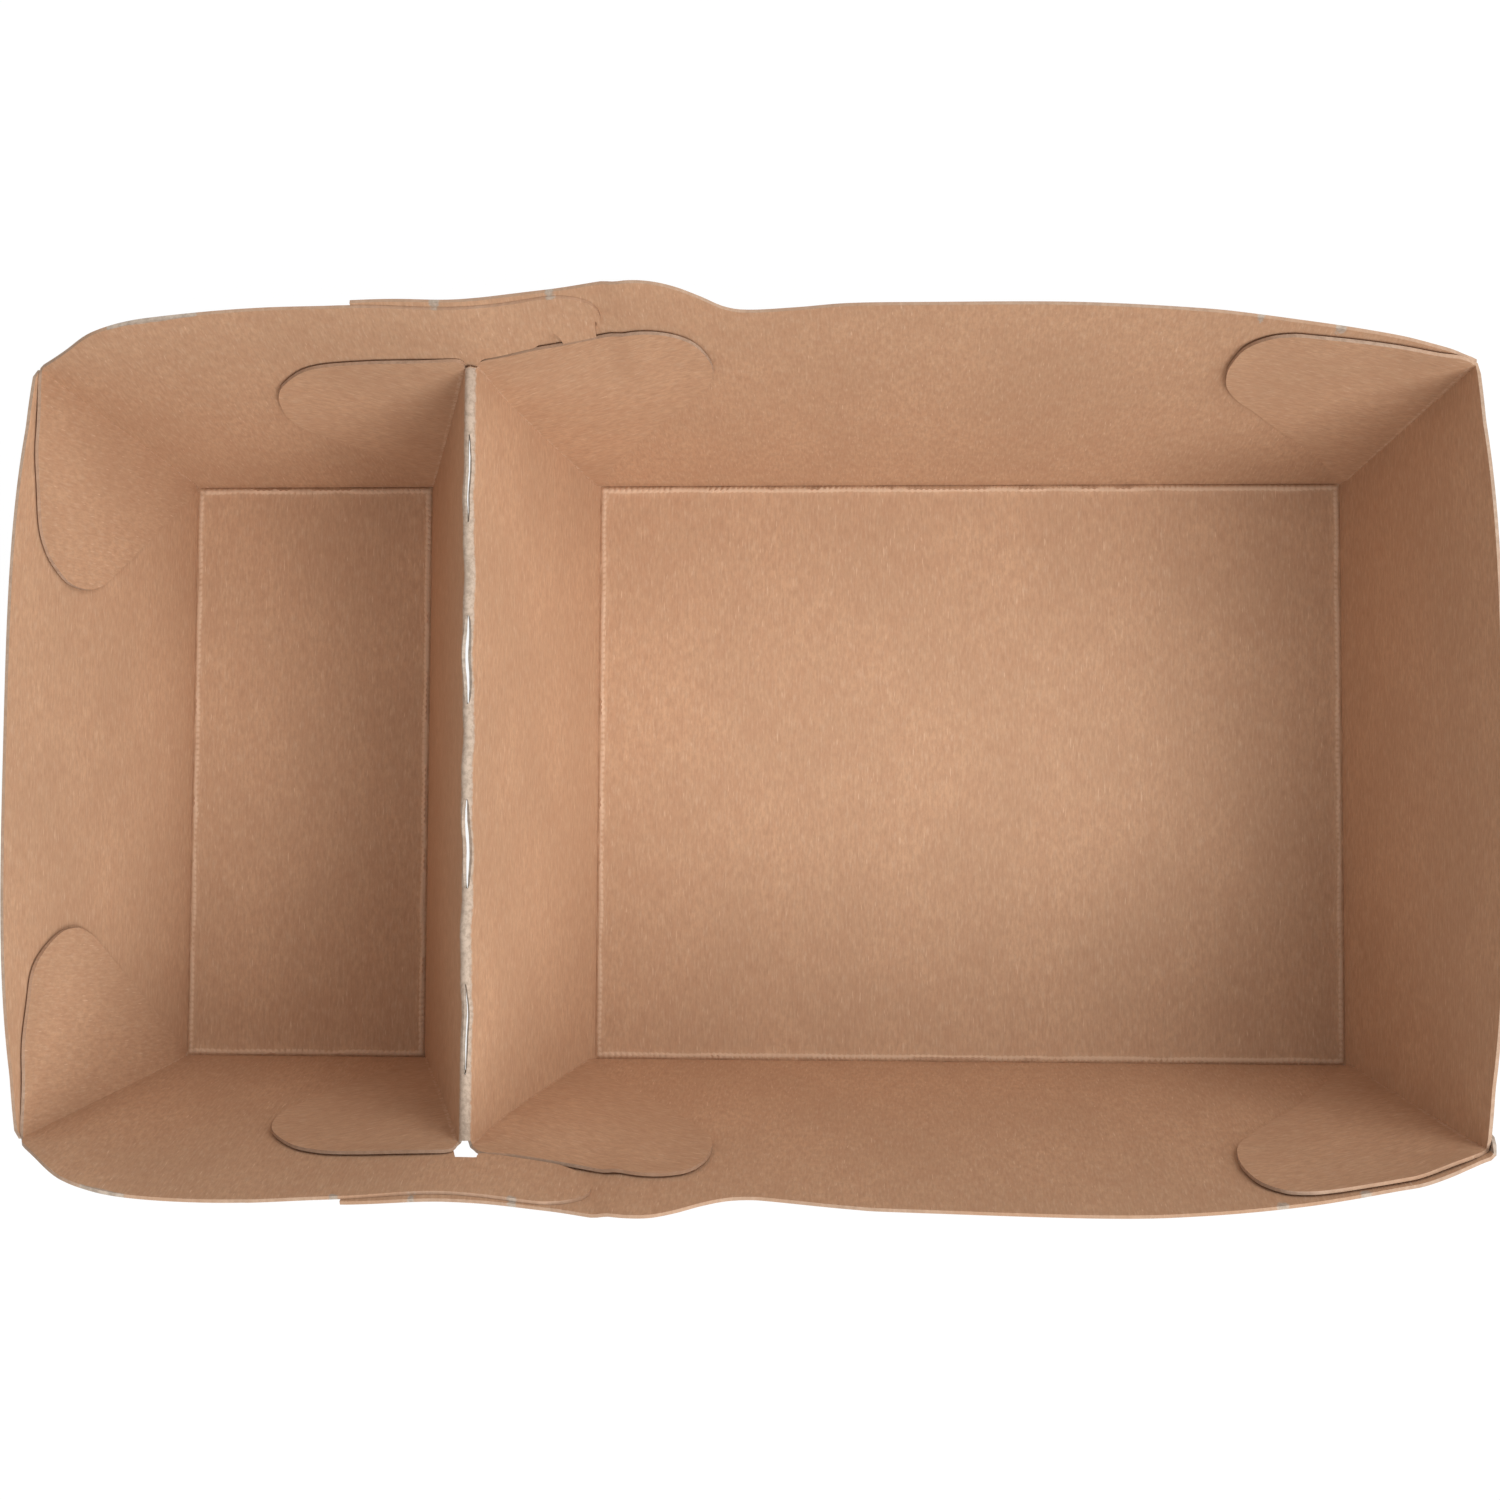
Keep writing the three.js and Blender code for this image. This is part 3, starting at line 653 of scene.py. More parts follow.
    def divider(self):
        ys = ramp(-HALF_WIDTH, HALF_WIDTH, FOLD_STEP)
        total = self.run[-1]
        left, right = ({side: self.divider_fold(side, t)[0] for side in (FRONT, BACK)} for t in (LEFT, RIGHT))
        runs = [
            (left[FRONT], True), (self.crest_end(FRONT, left[FRONT], right[FRONT]), False),
            (right[FRONT][::-1], True), (along_y(total, ys), True),
            (right[BACK], True), (self.crest_end(BACK, left[BACK], right[BACK])[::-1], False),
            (left[BACK][::-1], True), (along_y(0, ys[::-1]), True),
        ]
        holes = list(self.slit_holes())
        crest_ys = ramp(-CREST_ROW_END, CREST_ROW_END, RIM_STEP)
        extra = [along_y(self.crest_run + offset, crest_ys) for offset in CREST_ROWS]
        extra += [along_y(run, ys[1:-1]) for run in (GROOVE_REACH, total - GROOVE_REACH)]
        extra = np.concatenate(extra)
        for hole in holes:
            extra = extra[~inside(extra, hole) & (distance_to(extra, hole) > 0.1)]
        self.blank.panel(runs, self.on_divider, lambda p: p + (DIVIDER_ON_BLANK, 0), WIDE_STEP,
                         extra=[extra], holes=holes, margin=0.6)

    def long_wall_small(self, side):
        fold, _ = self.left_corner_fold(side)
        xs = ramp(SMALL_LEFT, SMALL_RIGHT, FOLD_STEP)
        mouth_from, mouth_to, mouth = MOUTHS[side]
        slope = (SMALL_RIGHT, 0), (CREST + mouth_from, mouth)
        tip = [(x + CREST, up) for x, up in SMALL_TABS[side]]
        under = [(x + CREST, up + FLAP_GAP) for x, up in RIGHT_FLAPS[side] if x + CREST < tip[-1][0] - 1]
        lower = np.concatenate([[slope[1]], curve([(CREST + mouth_to, mouth), *under, *tip[::-1]])])
        tab = curve([tip[0], *[(x + CREST, up) for x, up in TAB_RIMS[side][::-1]]])
        rim_x = ramp(tab[-1, 0] - 0.7, fold[-1, 0] + 0.6, RIM_STEP)
        main_rim = np.column_stack([rim_x, rim_height(side, rim_x)])
        rim = np.concatenate([resample(tab, RIM_STEP), main_rim, fold[-1:]])
        runs = [
            (along_x(xs, 0), True), (resample(slope, EDGE_STEP), False),
            (resample(lower, TAB_STEP), False), (rim, False), (fold[::-1], True),
        ]
        outline = np.concatenate([run for run, _ in runs])
        rows = self.edge_rows(xs, rim, outline)
        self.long_wall(side, runs, lambda x, up: on_long_wall(side, x, up), [rows], self.torn_rim(side))

    def long_wall(self, side, runs, place, extra, torn):
        self.blank.panel(runs, place, self.wall_on_blank(side), GRID_STEP, flip=side == FRONT,
                         extra=extra, pale=WALL_PALE, torn=torn)

    def edge_rows(self, xs, rim, outline):
        """Rows of points close to a wall's fold and to its rim."""
        rows = [along_x(xs, GROOVE_REACH), rim - (0, 0.35), rim - (0, 0.8)]
        rows = np.concatenate(rows)
        return rows[inside(rows, outline) & (distance_to(rows, outline) > 0.15)]

    def torn_rim(self, side):
        """How torn a wall is near its rim, at its nicks and its long tear."""
        start, end, deep = TEARS[side]

        def torn(points):
            x, up = points[:, 0] - CREST, points[:, 1]
            depth = rim_height(side, points[:, 0]) - up
            share = np.clip((x - start) / (end - start), 0, 1)
            found = smooth(deep * np.sin(share * np.pi), 0, np.maximum(depth, 0))
            found = found * (share > 0) * (share < 1)
            for nick in NICKS[side]:
                near = smooth(0.9, 0.2, np.abs(x - nick)) * smooth(1.6, 0.4, depth)
                found = np.maximum(found, near)
            return found
        return torn

    def long_wall_large(self, side):
        xs = ramp(LARGE_LEFT, LARGE_RIGHT, FOLD_STEP)
        past_corner = [(LARGE_RIGHT + up * CORNER_RUN + past, up) for past, up in RIGHT_EDGES[side]]
        edge = curve([(LARGE_RIGHT, 0), *past_corner])
        tab_end = CREST - LARGE_TAB_ENDS[side]
        rim_x = ramp(edge[-1, 0] - 0.25, tab_end, RIM_STEP)
        rim = np.column_stack([rim_x, rim_height(side, rim_x)])
        mouth_from, mouth_to, mouth = MOUTHS[side]
        lower = [(tab_end, mouth + 4), (CREST + mouth_from, mouth + 0.2), (CREST + mouth_to, mouth)]
        runs = [
            (along_x(xs, 0), True), (resample(edge, CURL_STEP), False), (rim, False),
            (resample([rim[-1], lower[0]], EDGE_STEP), False), (resample(lower, EDGE_STEP), False),
            (resample([lower[-1], (LARGE_LEFT, 0)], EDGE_STEP), False),
        ]

        def torn(points):
            past = points[:, 0] - LARGE_RIGHT - points[:, 1] * CORNER_RUN
            return np.maximum(on_rim(points), smooth(0.3, 1.0, past) * smooth(36, 43, points[:, 1]))
        strip = []
        for past in np.arange(0.3, 3.4, 0.45):
            up = ramp(6, 48, RIM_STEP)
            strip.append(np.column_stack([LARGE_RIGHT + up * CORNER_RUN + past, up]))
        outline = np.concatenate([run for run, _ in runs])
        strip = np.concatenate(strip)
        strip = strip[inside(strip, outline) & (distance_to(strip, outline) > 0.25)]
        rows = self.edge_rows(xs, rim, outline)
        rows = rows[distance_to(rows, strip) > 0.3]
        on_rim = self.torn_rim(side)
        self.long_wall(side, runs, self.large_wall_at(side), [strip, rows], torn)

    def wall_on_blank(self, side):
        return lambda p: np.column_stack([p[:, 0], side * (HALF_WIDTH + p[:, 1])])

    def end_wall(self, side):
        ys = ramp(-HALF_WIDTH, HALF_WIDTH, FOLD_STEP)
        if side == LEFT:
            reach = HALF_WIDTH + END_CORNER * CORNER_SPREAD + 0.25
            low = HALF_WIDTH + 5 * CORNER_SPREAD + 0.4, 5
            edge = resample([(HALF_WIDTH, 0), low, (reach, END_CORNER - 0.9)], EDGE_STEP)
            is_fold = False
        else:
            edge = self.right_corner_fold(BACK)[0]
            is_fold = True
            reach = edge[-1, 0]
        rim_y = ramp(reach, -reach, END_RIM_STEP)
        height = END_MIDDLE - (END_MIDDLE - END_CORNER) * (rim_y / reach) ** 4
        rim = np.column_stack([rim_y, height])
        rim[0] = edge[-1]
        rim[-1] = edge[-1] * (-1, 1)
        runs = [
            (along_x(ys, 0), True), (edge, is_fold), (rim, False),
            (edge[::-1] * (-1, 1), is_fold),
        ]
        fold = LARGE_RIGHT if side == RIGHT else SMALL_LEFT

        def to_blank(p):
            return np.column_stack([fold + side * p[:, 1], p[:, 0]])
        self.blank.panel(runs, lambda y, up: on_end_wall(side, y, up), to_blank, GRID_STEP,
                         flip=side == RIGHT, extra=[along_x(ys[1:-1], GROOVE_REACH)], pale=END_PALE)

    def flap(self, fold, blank_fold, outline, place, mirror, flip):
        """fold: from the bottom's corner up. outline: from the fold's top round the tip and back down."""
        free = curve([fold[-1], *outline, fold[0]])
        runs = [(fold, True), (resample(free, RIM_STEP), False)]
        upper = np.array([fold[-1], *outline[:-3]])

        def place_off(u, v):
            return place(u, v, self.lifted(np.column_stack([u, v]), upper, fold))
        to_blank = turned(fold, blank_fold, mirror)
        self.blank.panel(runs, place_off, to_blank, GRID_STEP, flip=flip, pale=END_PALE)

    def flaps(self, side):
        front = side == FRONT
        wall, own = self.left_corner_fold(side)
        outline = [(side * y, up) for y, up in END_FLAPS[side]]
        self.flap(own, self.wall_on_blank(side)(wall), outline, self.end_flap, True, False)
        wall, own = self.right_corner_fold(side)
        blank_fold = np.column_stack([LARGE_RIGHT + wall[:, 1], wall[:, 0]])
        outline = [(LARGE_RIGHT + x, up) for x, up in CORNER_FLAPS[side]]
        self.flap(own, blank_fold, outline, self.flap_at(side), front, front)
        for towards, table in ((RIGHT, RIGHT_FLAPS), (LEFT, LEFT_FLAPS)):
            wall, own = self.divider_fold(side, towards)
            outline = [(CREST + x, up) for x, up in table[side]]
            place = self.flap_at(side, towards == RIGHT)
            self.flap(own, wall + (DIVIDER_ON_BLANK, 0), outline, place, front, front)

    def build(self):
        self.bottom(SMALL_LEFT, SMALL_RIGHT)
        self.bottom(LARGE_LEFT, LARGE_RIGHT)
        self.divider()
        for side in (FRONT, BACK):
            self.long_wall_small(side)
            self.long_wall_large(side)
            self.flaps(side)
        self.end_wall(LEFT)
        self.end_wall(RIGHT)
        return self.blank.joined()


def vertex_normals(places, faces):
    mesh = bpy.data.meshes.new("normals")
    mesh.from_pydata(places.tolist(), [], faces.tolist())
    mesh.update()
    normals = np.zeros(len(places) * 3)
    mesh.vertex_normals.foreach_get("vector", normals)
    bpy.data.meshes.remove(mesh)
    return normals.reshape(-1, 3)


def thickened(places, lift, faces, corner_flat, corner_pale, board):
    """A closed sheet of board whose food side is the given surface.

    Also gives the place on the blank for each corner of each face, and how much of the core each face shows.
    """
    normals = vertex_normals(places, faces)
    count = len(places)
    owner = {}
    for number, (a, b, c) in enumerate(faces.tolist()):
        owner[a, b] = number, 0
        owner[b, c] = number, 1
        owner[c, a] = number, 2
    rim = [pair for pair in owner if pair[::-1] not in owner]
    back = places - normals * board
    front = places + normals * lift[:, None]
    rim_faces, rim_blank, rim_cut = [], [], []
    for a, b in rim:
        number, corner = owner[a, b]
        at_a, at_b = corner_flat[number, corner], corner_flat[number, (corner + 1) % 3]
        rim_faces.append((b, a, a + count, b + count))
        rim_blank += [(*at_b, 0), (*at_a, 0), (*at_a, -board), (*at_b, -board)]
        rim_cut.append(corner_pale[number, corner])
    all_faces = faces.tolist() + (faces[:, ::-1] + count).tolist() + rim_faces
    points = np.concatenate([front, back])
    points[:, 2] += board
    layer = np.zeros((*faces.shape, 1))
    blank = np.concatenate([
        np.concatenate([corner_flat, layer], axis=2).reshape(-1, 3),
        np.concatenate([corner_flat[:, ::-1], layer - board], axis=2).reshape(-1, 3),
        np.array(rim_blank),
    ])
    cut = np.concatenate([np.zeros(2 * len(faces)), rim_cut])
    return points, blank, all_faces, cut


def mesh_object(name, points, faces, sharp):
    mesh = bpy.data.meshes.new(name)
    mesh.from_pydata((points * MM).tolist(), [], faces)
    mesh.update()
    mesh.validate()
    mesh.set_sharp_from_angle(angle=math.radians(sharp))
    piece = bpy.data.objects.new(name, mesh)
    bpy.context.scene.collection.objects.link(piece)
    return piece


# Materials

# Loose pale fibres on the board: direction, shift, and scales of the pattern along and across
FIBRES = ((0.15, 11, 0.42, 3.4), (-0.7, 23, 0.38, 3.6), (1.25, 41, 0.36, 3.5))


class Socket:
    """A shader value that can be used in Python expressions."""

    def __init__(self, shader, socket):
        self.shader = shader
        self.socket = socket

    def maths(self, operation, first, second=None):
        values = [first] if second is None else [first, second]
        return self.shader.node("ShaderNodeMath", {"operation": operation}, values)

    def __add__(self, other):
        return self.maths("ADD", self, other)

    def __radd__(self, other):
        return self.maths("ADD", other, self)

    def __sub__(self, other):
        return self.maths("SUBTRACT", self, other)

    def __rsub__(self, other):
        return self.maths("SUBTRACT", other, self)

    def __mul__(self, other):
        return self.maths("MULTIPLY", self, other)

    def __rmul__(self, other):
        return self.maths("MULTIPLY", other, self)

    def __gt__(self, other):
        return self.maths("GREATER_THAN", self, other)

    def __abs__(self):
        return self.maths("ABSOLUTE", self)


class Shader:
    """A node material with one method that makes nodes."""

    def __init__(self, name):
        self.material = bpy.data.materials.new(name)
        self.material.use_nodes = True
        self.tree = self.material.node_tree
        self.tree.nodes.clear()

    def node(self, kind, settings=None, values=None, output=0):
        made = self.tree.nodes.new(kind)
        for key, value in (settings or {}).items():
            if key == "stops":
                self.set_stops(made.color_ramp, value)
            else:
                setattr(made, key, value)
        items = values.items() if isinstance(values, dict) else enumerate(values or [])
        for key, value in items:
            if isinstance(value, Socket):
                self.tree.links.new(value.socket, made.inputs[key])
            else:
                made.inputs[key].default_value = value
        return Socket(self, made.outputs[output]) if made.outputs else made

    def set_stops(self, ramp_data, stops):
        while len(ramp_data.elements) < len(stops):
            ramp_data.elements.new(0.5)
        for element, (place, grey) in zip(ramp_data.elements, stops):
            element.position = place
            element.color = (grey, grey, grey, 1)

    def mix(self, amount, first, second):
        return self.node("ShaderNodeMix", {"data_type": "RGBA"}, {0: amount, 6: first, 7: second}, 2)

    def attribute(self, name, output):
        return self.node("ShaderNodeAttribute", {"attribute_name": name}, None, output)

    def pattern(self, place, factors, detail, rough=0.5, turn=0.0, shift=(0, 0, 0)):
        """A noise over the blank. Factors: its waves for each millimetre, about."""
        values = {"Vector": place, "Location": shift, "Rotation": (0, 0, turn), "Scale": factors}
        moved = self.node("ShaderNodeMapping", {"vector_type": "POINT"}, values)
        values = {"Vector": moved, "Scale": 1.0, "Detail": detail, "Roughness": rough}
        return self.node("ShaderNodeTexNoise", None, values)

    def stepped(self, value, low, high):
        return self.node("ShaderNodeMapRange", {"interpolation_type": "SMOOTHSTEP"},
                         {"Value": value, "From Min": low, "From Max": high})


def colour(values, scale=1.0):
    return (*(v * scale for v in values), 1.0)


def line_mask(shader, x, y, start, along, length, width):
    """1 close to a fold line on the blank. It starts at one point and runs along a direction."""
    size = math.hypot(*along)
    ux, uy = along[0] / size, along[1] / size
    dx, dy = x - start[0], y - start[1]
    off = abs(dx * uy - dy * ux)
    run = dx * ux + dy * uy
    return shader.stepped(off, width, 0.3 * width) * (run > -0.5) * (length - run > 0)


def kraft_material(colours, crest_run):
    shader = Shader("kraft_board")
    blank = shader.attribute("blank", 1)
    cut = shader.attribute("cut", 2)
    bead = shader.attribute("bead", 2)
    torn = shader.attribute("torn", 2)
    x = shader.node("ShaderNodeSeparateXYZ", None, [blank], 0)
    y = abs(shader.node("ShaderNodeSeparateXYZ", None, [blank], 1))

    cloud = shader.stepped(shader.pattern(blank, (0.06, 0.045, 0.05), 2.0), 0.3, 0.7)
    shade = shader.mix(cloud, colour(colours.kraft, 0.97), colour(colours.kraft, 1.09))
    mottle = shader.pattern(blank, (1.5, 0.7, 0.8), 4.0, 0.7, 0, (7, 3, 0))
    shade = shader.mix(shader.stepped(mottle, 0.34, 0.66) * 0.75, shade, colour(colours.kraft, 0.85))
    patches = shader.pattern(blank, (0.42, 0.2, 0.3), 3.0, 0.62, 0, (17, 5, 0))
    shade = shader.mix(shader.stepped(patches, 0.36, 0.64) * 0.34, shade, colour(colours.patches))
    grain = shader.pattern(blank, (3.2, 0.5, 1.0), 3.0, 0.6, 0.04)
    shade = shader.mix(shader.stepped(grain, 0.50, 0.72) * 0.38, shade, colour(colours.light_fibre_and_highlight, 0.97))
    shade = shader.mix(shader.stepped(grain, 0.50, 0.30) * 0.20, shade, colour(colours.dark_fibre_and_shade))
    relief = mottle * 0.5 + grain * 0.6
    for turn, shift, reach, fine in FIBRES:
        streak = shader.pattern(blank, (fine, reach, 1.0), 1.0, 0.4, turn, (shift, -shift, 0))
        light = shader.stepped(streak, 0.72, 0.79)
        shade = shader.mix(light * 0.5, shade, colour(colours.light_fibre_and_highlight, 1.15))
    speck = shader.pattern(blank, (1.1, 0.8, 1.0), 2.0, 0.5, 0.7, (3, 9, 0))
    shade = shader.mix(shader.stepped(speck, 0.76, 0.84) * 0.6, shade, colour(colours.dark_fibre_and_shade, 0.8))

    ragged = shader.pattern(blank, (1.2, 1.2, 1.0), 3.0, 0.7)
    # Painted highlight: a lighter line laid along each crease bead, ragged along its length
    bead_highlight = shader.stepped(bead * (ragged * 0.5 + 0.75), 0.12, 0.42)
    shade = shader.mix(bead_highlight * 0.6, shade, colour(colours.light_fibre_and_highlight, 1.12))
    # Painted shade: a darker line laid in the groove on each fold, where the bead attribute is below zero
    shade = shader.mix(shader.stepped(bead, -0.1, -0.45) * 0.6, shade, colour(colours.dark_fibre_and_shade, 0.8))
    # Painted highlight: broken lighter lines laid along the corner folds and the divider's folds
    folds = line_mask(shader, x, y, (SMALL_LEFT, HALF_WIDTH), (-CORNER_RUN, 1), 49, 0.35)
    folds = folds + line_mask(shader, x, y, (LARGE_RIGHT, HALF_WIDTH), (1, CORNER_SPREAD), 49, 0.35)
    left_foot = DIVIDER_ON_BLANK, HALF_WIDTH
    right_foot = DIVIDER_ON_BLANK + 2 * crest_run, HALF_WIDTH
    folds = folds + line_mask(shader, x, y, left_foot, (crest_run, 9.3), 48, 0.4)
    folds = folds + line_mask(shader, x, y, right_foot, (-crest_run, 9.3), 48, 0.4)
    broken = shader.stepped(ragged, 0.42, 0.62)
    shade = shader.mix(folds * broken * 0.7, shade, colour(colours.light_fibre_and_highlight))

    # The cream strip along the divider's crest is worn board with a painted highlight in its colour
    from_crest = abs(x - (DIVIDER_ON_BLANK + crest_run))
    worn_and_highlit = shader.stepped(from_crest - (ragged - 0.5) * 1.3, 1.3, 0.8) * (CREST_END - y > 0)
    rough = shader.stepped(ragged, 0.35, 0.6)
    frayed_and_highlit = shader.mix(rough, colour(colours.crest, 0.72), colour(colours.crest, 1.05))
    shade = shader.mix(worn_and_highlit * 0.85, shade, frayed_and_highlit)
    rough = shader.stepped(ragged, 0.3, 0.7)
    edge = shader.mix(rough, colour(colours.cut_edge, 0.7), colour(colours.cut_edge, 1.1))
    # Painted shade: the cut edges are first darkened, then the pale core is laid over them as far as each
    # panel's paleness lets it show
    shade = shader.mix(shader.stepped(cut, 0.0, 0.3) * 0.45, shade, colour(colours.dark_fibre_and_shade, 1.25))
    shade = shader.mix(cut * (cloud * 0.9 + 0.5), shade, edge)
    fuzz = shader.stepped(ragged + torn, 0.85, 1.15)
    shade = shader.mix(fuzz * 0.9, shade, edge)
    bump = shader.node("ShaderNodeBump", None, {"Strength": 0.3, "Distance": 0.0001, "Height": relief})
    surface = shader.node("ShaderNodeBsdfPrincipled", None,
                          {"Base Color": shade, "Roughness": 0.75, "Specular IOR Level": 0.3, "Normal": bump})
    shader.node("ShaderNodeOutputMaterial", None, {"Surface": surface})
    return shader.material


GLOW_STRENGTH = 1.03        # it makes up for the shaded share, so that the floor comes out white
GLOW_SHARE = 0.94


def floor_material(colours):
    """White to the camera apart from a faint shadow, and a plain pale floor to everything else."""
    shader = Shader("pale_floor")
    paths = [shader.node("ShaderNodeLightPath", None, None, output)
             for output in ("Is Camera Ray", "Is Glossy Ray", "Is Transmission Ray")]
    seen = shader.node("ShaderNodeMath", {"operation": "MAXIMUM"}, [paths[0], paths[1]])
    seen = shader.node("ShaderNodeMath", {"operation": "MAXIMUM"}, [seen, paths[2]])
    matt = shader.node("ShaderNodeBsdfDiffuse", None, {"Color": colour(colours.floor)})
    glow = shader.node("ShaderNodeEmission", None, {"Color": (1, 1, 1, 1), "Strength": GLOW_STRENGTH})
    white = shader.node("ShaderNodeMixShader", None, [GLOW_SHARE, matt, glow])
    surface = shader.node("ShaderNodeMixShader", None, [seen, matt, white])
    shader.node("ShaderNodeOutputMaterial", None, {"Surface": surface})
    return shader.material


# The add-on

class FoodTraySizes(PropertyGroup):
    """Sizes of the board and its folds."""
    board: FloatProperty(name="Board", description="Thickness of the board",
                         default=0.0005, unit="LENGTH")
    glue_gap: FloatProperty(name="Glue gap", description="Gap between two glued layers",
                            default=0.00004, unit="LENGTH")
    bead_width: FloatProperty(name="Bead width", description="Width of the crease bead at a fold",
                              default=0.0010, unit="LENGTH")
    bead_height: FloatProperty(name="Bead height", description="Height of the crease bead",
                               default=0.00042, unit="LENGTH")
    groove_depth: FloatProperty(name="Groove depth", description="Depth of the groove on the fold",
                                default=0.00022, unit="LENGTH")
    crest_radius: FloatProperty(name="Crest radius", description="Radius of the folded crest",
                                default=0.00085, unit="LENGTH")
    open_slit: FloatProperty(name="Open slit", description="Cut width of a gaping slit, round the crest",
                             default=0.0014, unit="LENGTH")
    closed_slit: FloatProperty(name="Closed slit", description="Cut width of a shut slit, round the crest",
                               default=0.0008, unit="LENGTH")
    edge_lift: FloatProperty(name="Flap lift", description="How far a flap's free edge stands off",
                             default=0.00030, unit="LENGTH")


class FoodTrayColours(PropertyGroup):
    """Colours of the board and the floor."""
    kraft: FloatVectorProperty(name="Kraft", description="Face of the board",
                               default=(0.522, 0.315, 0.191), subtype="COLOR")
    patches: FloatVectorProperty(name="Patches", description="Darker patches of the board",
                                 default=(0.445, 0.245, 0.145), subtype="COLOR")
    # Light fibres, and also the painted highlight along the crease beads and folds
    light_fibre_and_highlight: FloatVectorProperty(name="Light fibres", description="Pale fibres",
                                     default=(0.62, 0.43, 0.30), subtype="COLOR")
    # Dark fibres, and also the painted shade in the fold grooves and on the cut edges
    dark_fibre_and_shade: FloatVectorProperty(name="Dark fibres", description="Dark fibres",
                                    default=(0.30, 0.15, 0.075), subtype="COLOR")
    cut_edge: FloatVectorProperty(name="Cut edge", description="Core of the board",
                                  default=(0.44, 0.36, 0.29), subtype="COLOR")
    # The crest's worn fibres, with a painted highlight in the same colour
    crest: FloatVectorProperty(name="Worn crest", description="Frayed fibres on the crest",
                               default=(0.48, 0.39, 0.31), subtype="COLOR")
    floor: FloatVectorProperty(name="Floor", description="Floor under the tray",
                               default=(0.80, 0.80, 0.80), subtype="COLOR")


class FOODTRAY_OT_board(Operator):
    """Fold the blank into the tray"""
    bl_idname = "food_tray.board"
    bl_label = "Folded board"

    def execute(self, context):
        sizes = context.scene.food_tray_sizes
        tray = Tray(sizes)
        places, lift, torn, faces, corner_flat, corner_pale = tray.build()
        points, blank, all_faces, cut = thickened(places, lift, faces, corner_flat, corner_pale, tray.board)
        piece = mesh_object("tray_board", points, all_faces, SHARP_ANGLE)
        mesh = piece.data
        if len(mesh.vertices) != len(points) or len(mesh.polygons) != len(all_faces):
            raise RuntimeError("the folded sheet has faces that Blender had to drop")
        place = mesh.attributes.new("blank", "FLOAT_VECTOR", "CORNER")
        place.data.foreach_set("vector", blank.astype(np.float32).ravel())
        self.add_values(mesh, "cut", "FACE", cut)
        self.add_values(mesh, "bead", "POINT", np.concatenate([lift, 0 * lift]) / max(tray.bead_height, 1e-6))
        self.add_values(mesh, "torn", "POINT", np.concatenate([torn, torn]))
        mesh.materials.append(kraft_material(context.scene.food_tray_colours, tray.crest_run))
        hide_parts(TRAY_NODE)
        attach(piece, BODY)
        return {"FINISHED"}

    def add_values(self, mesh, name, domain, values):
        mesh.attributes.new(name, "FLOAT", domain).data.foreach_set("value", values.astype(np.float32))


# Studio lamps: direction round the tray and height above the horizon in degrees, power in watts
LAMPS = (
    ("key", -45, 45, 7.70),
    ("right", 0, 45, 3.21),
    ("right_back", 45, 45, 3.85),
    ("front", -90, 45, 2.46),
)
LAMP_DISTANCE = 1.25
LAMP_SIZE = 0.6
SKY_STRENGTH = 0.56
# The camera's place in metres, and its turns in degrees, as fitted to the photo
CAMERA_LENS = 58.464
CAMERA_PLACE = (0.01891, -0.02116, 0.3792)
CAMERA_TURNS = ((0.32, "Z"), (3.08, "Y"), (3.70, "X"))
FLOOR_REACH = 3000.0        # millimetres
FLOOR_DROP = 0.05           # the floor lies just under the tray, so that the two faces never meet


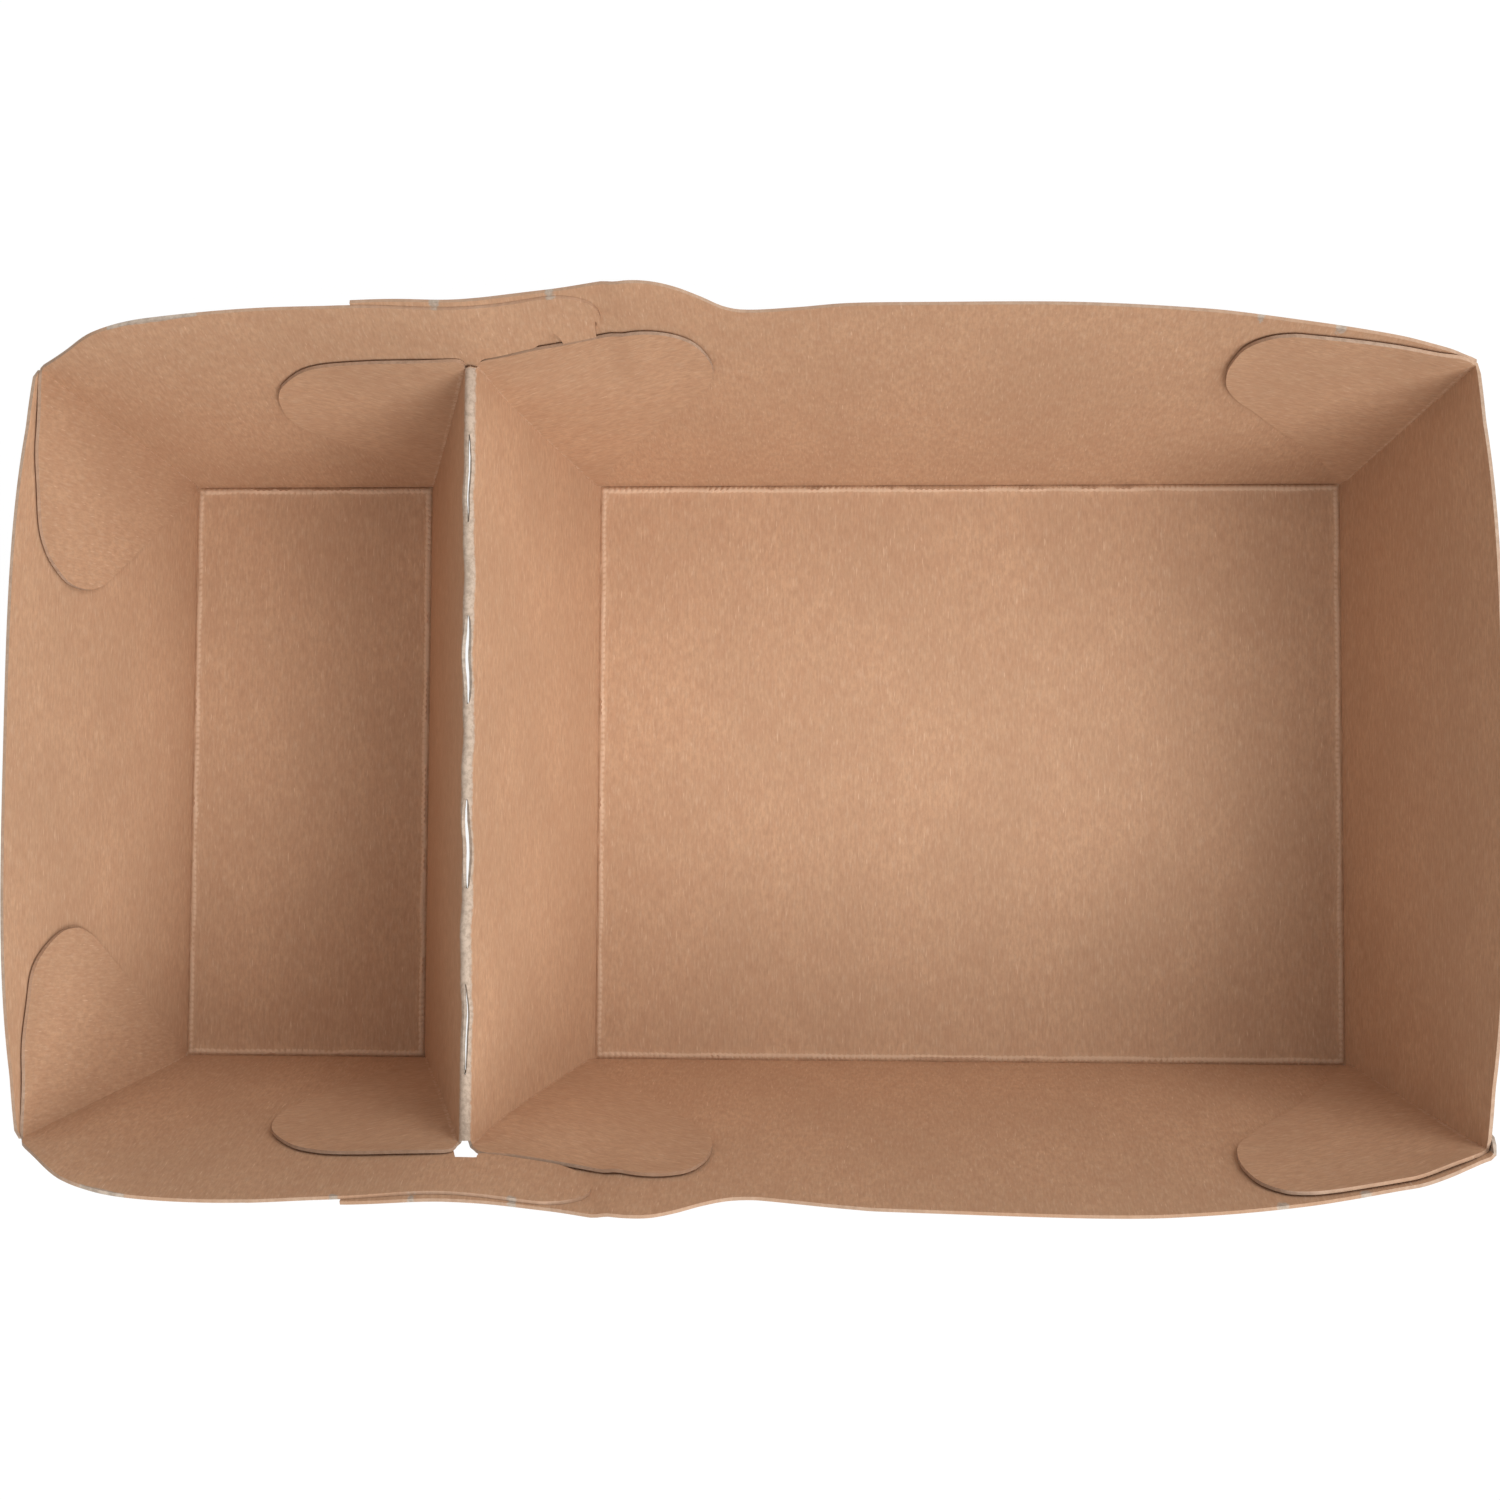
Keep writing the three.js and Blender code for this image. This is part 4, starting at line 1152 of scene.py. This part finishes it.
class FOODTRAY_OT_stage(Operator):
    """Set up the camera, the floor and the lights"""
    bl_idname = "food_tray.stage"
    bl_label = "Stage"

    def execute(self, context):
        scene = context.scene
        self.camera(scene)
        self.floor(scene)
        self.lights(scene)
        scene.view_settings.view_transform = "Standard"
        return {"FINISHED"}

    def camera(self, scene):
        data = bpy.data.cameras.new("photo_camera")
        data.sensor_width = 36
        data.lens = CAMERA_LENS
        data.clip_end = 50
        camera = bpy.data.objects.new("photo_camera", data)
        turn = Matrix.Identity(4)
        for angle, axis in CAMERA_TURNS:
            turn = turn @ Matrix.Rotation(math.radians(angle), 4, axis)
        camera.matrix_world = Matrix.Translation(CAMERA_PLACE) @ turn
        scene.collection.objects.link(camera)
        scene.camera = camera

    def floor(self, scene):
        corners = [(-1, -1), (1, -1), (1, 1), (-1, 1)]
        points = np.array([(FLOOR_REACH * x, FLOOR_REACH * y, -FLOOR_DROP) for x, y in corners])
        floor = mesh_object("floor", points, [(0, 1, 2, 3)], SHARP_ANGLE)
        floor.data.materials.append(floor_material(scene.food_tray_colours))

    def lights(self, scene):
        world = bpy.data.worlds.new("studio")
        world.use_nodes = True
        background = world.node_tree.nodes["Background"]
        background.inputs["Color"].default_value = (1.0, 1.0, 1.0, 1)
        background.inputs["Strength"].default_value = SKY_STRENGTH
        scene.world = world
        for name, around, above, power in LAMPS:
            around, above = math.radians(around), math.radians(above)
            level = math.cos(above)
            towards = Vector((level * math.cos(around), level * math.sin(around), math.sin(above)))
            data = bpy.data.lights.new(name, "AREA")
            data.shape = "DISK"
            data.size = LAMP_SIZE
            data.energy = power
            lamp = bpy.data.objects.new(name, data)
            lamp.location = LAMP_DISTANCE * towards
            lamp.rotation_euler = (-towards).to_track_quat("-Z", "Y").to_euler()
            scene.collection.objects.link(lamp)


class FOODTRAY_PT_panel(Panel):
    """Food tray tools"""
    bl_label = "Food Tray"
    bl_idname = "FOODTRAY_PT_panel"
    bl_space_type = "VIEW_3D"
    bl_region_type = "UI"
    bl_category = "Food Tray"

    def draw(self, context):
        layout = self.layout
        for group in (context.scene.food_tray_sizes, context.scene.food_tray_colours):
            for name in group.__annotations__:
                layout.prop(group, name)
        for operator in OPERATORS:
            layout.operator(operator.bl_idname)


OPERATORS = (FOODTRAY_OT_board, FOODTRAY_OT_stage)
CLASSES = (FoodTraySizes, FoodTrayColours, *OPERATORS, FOODTRAY_PT_panel)


def register():
    for cls in CLASSES:
        bpy.utils.register_class(cls)
    bpy.types.Scene.food_tray_sizes = PointerProperty(type=FoodTraySizes)
    bpy.types.Scene.food_tray_colours = PointerProperty(type=FoodTrayColours)


def unregister():
    del bpy.types.Scene.food_tray_colours
    del bpy.types.Scene.food_tray_sizes
    for cls in reversed(CLASSES):
        bpy.utils.unregister_class(cls)


def main():
    register()
    bpy.ops.food_tray.board()
    bpy.ops.food_tray.stage()


if __name__ == "__main__":
    main()
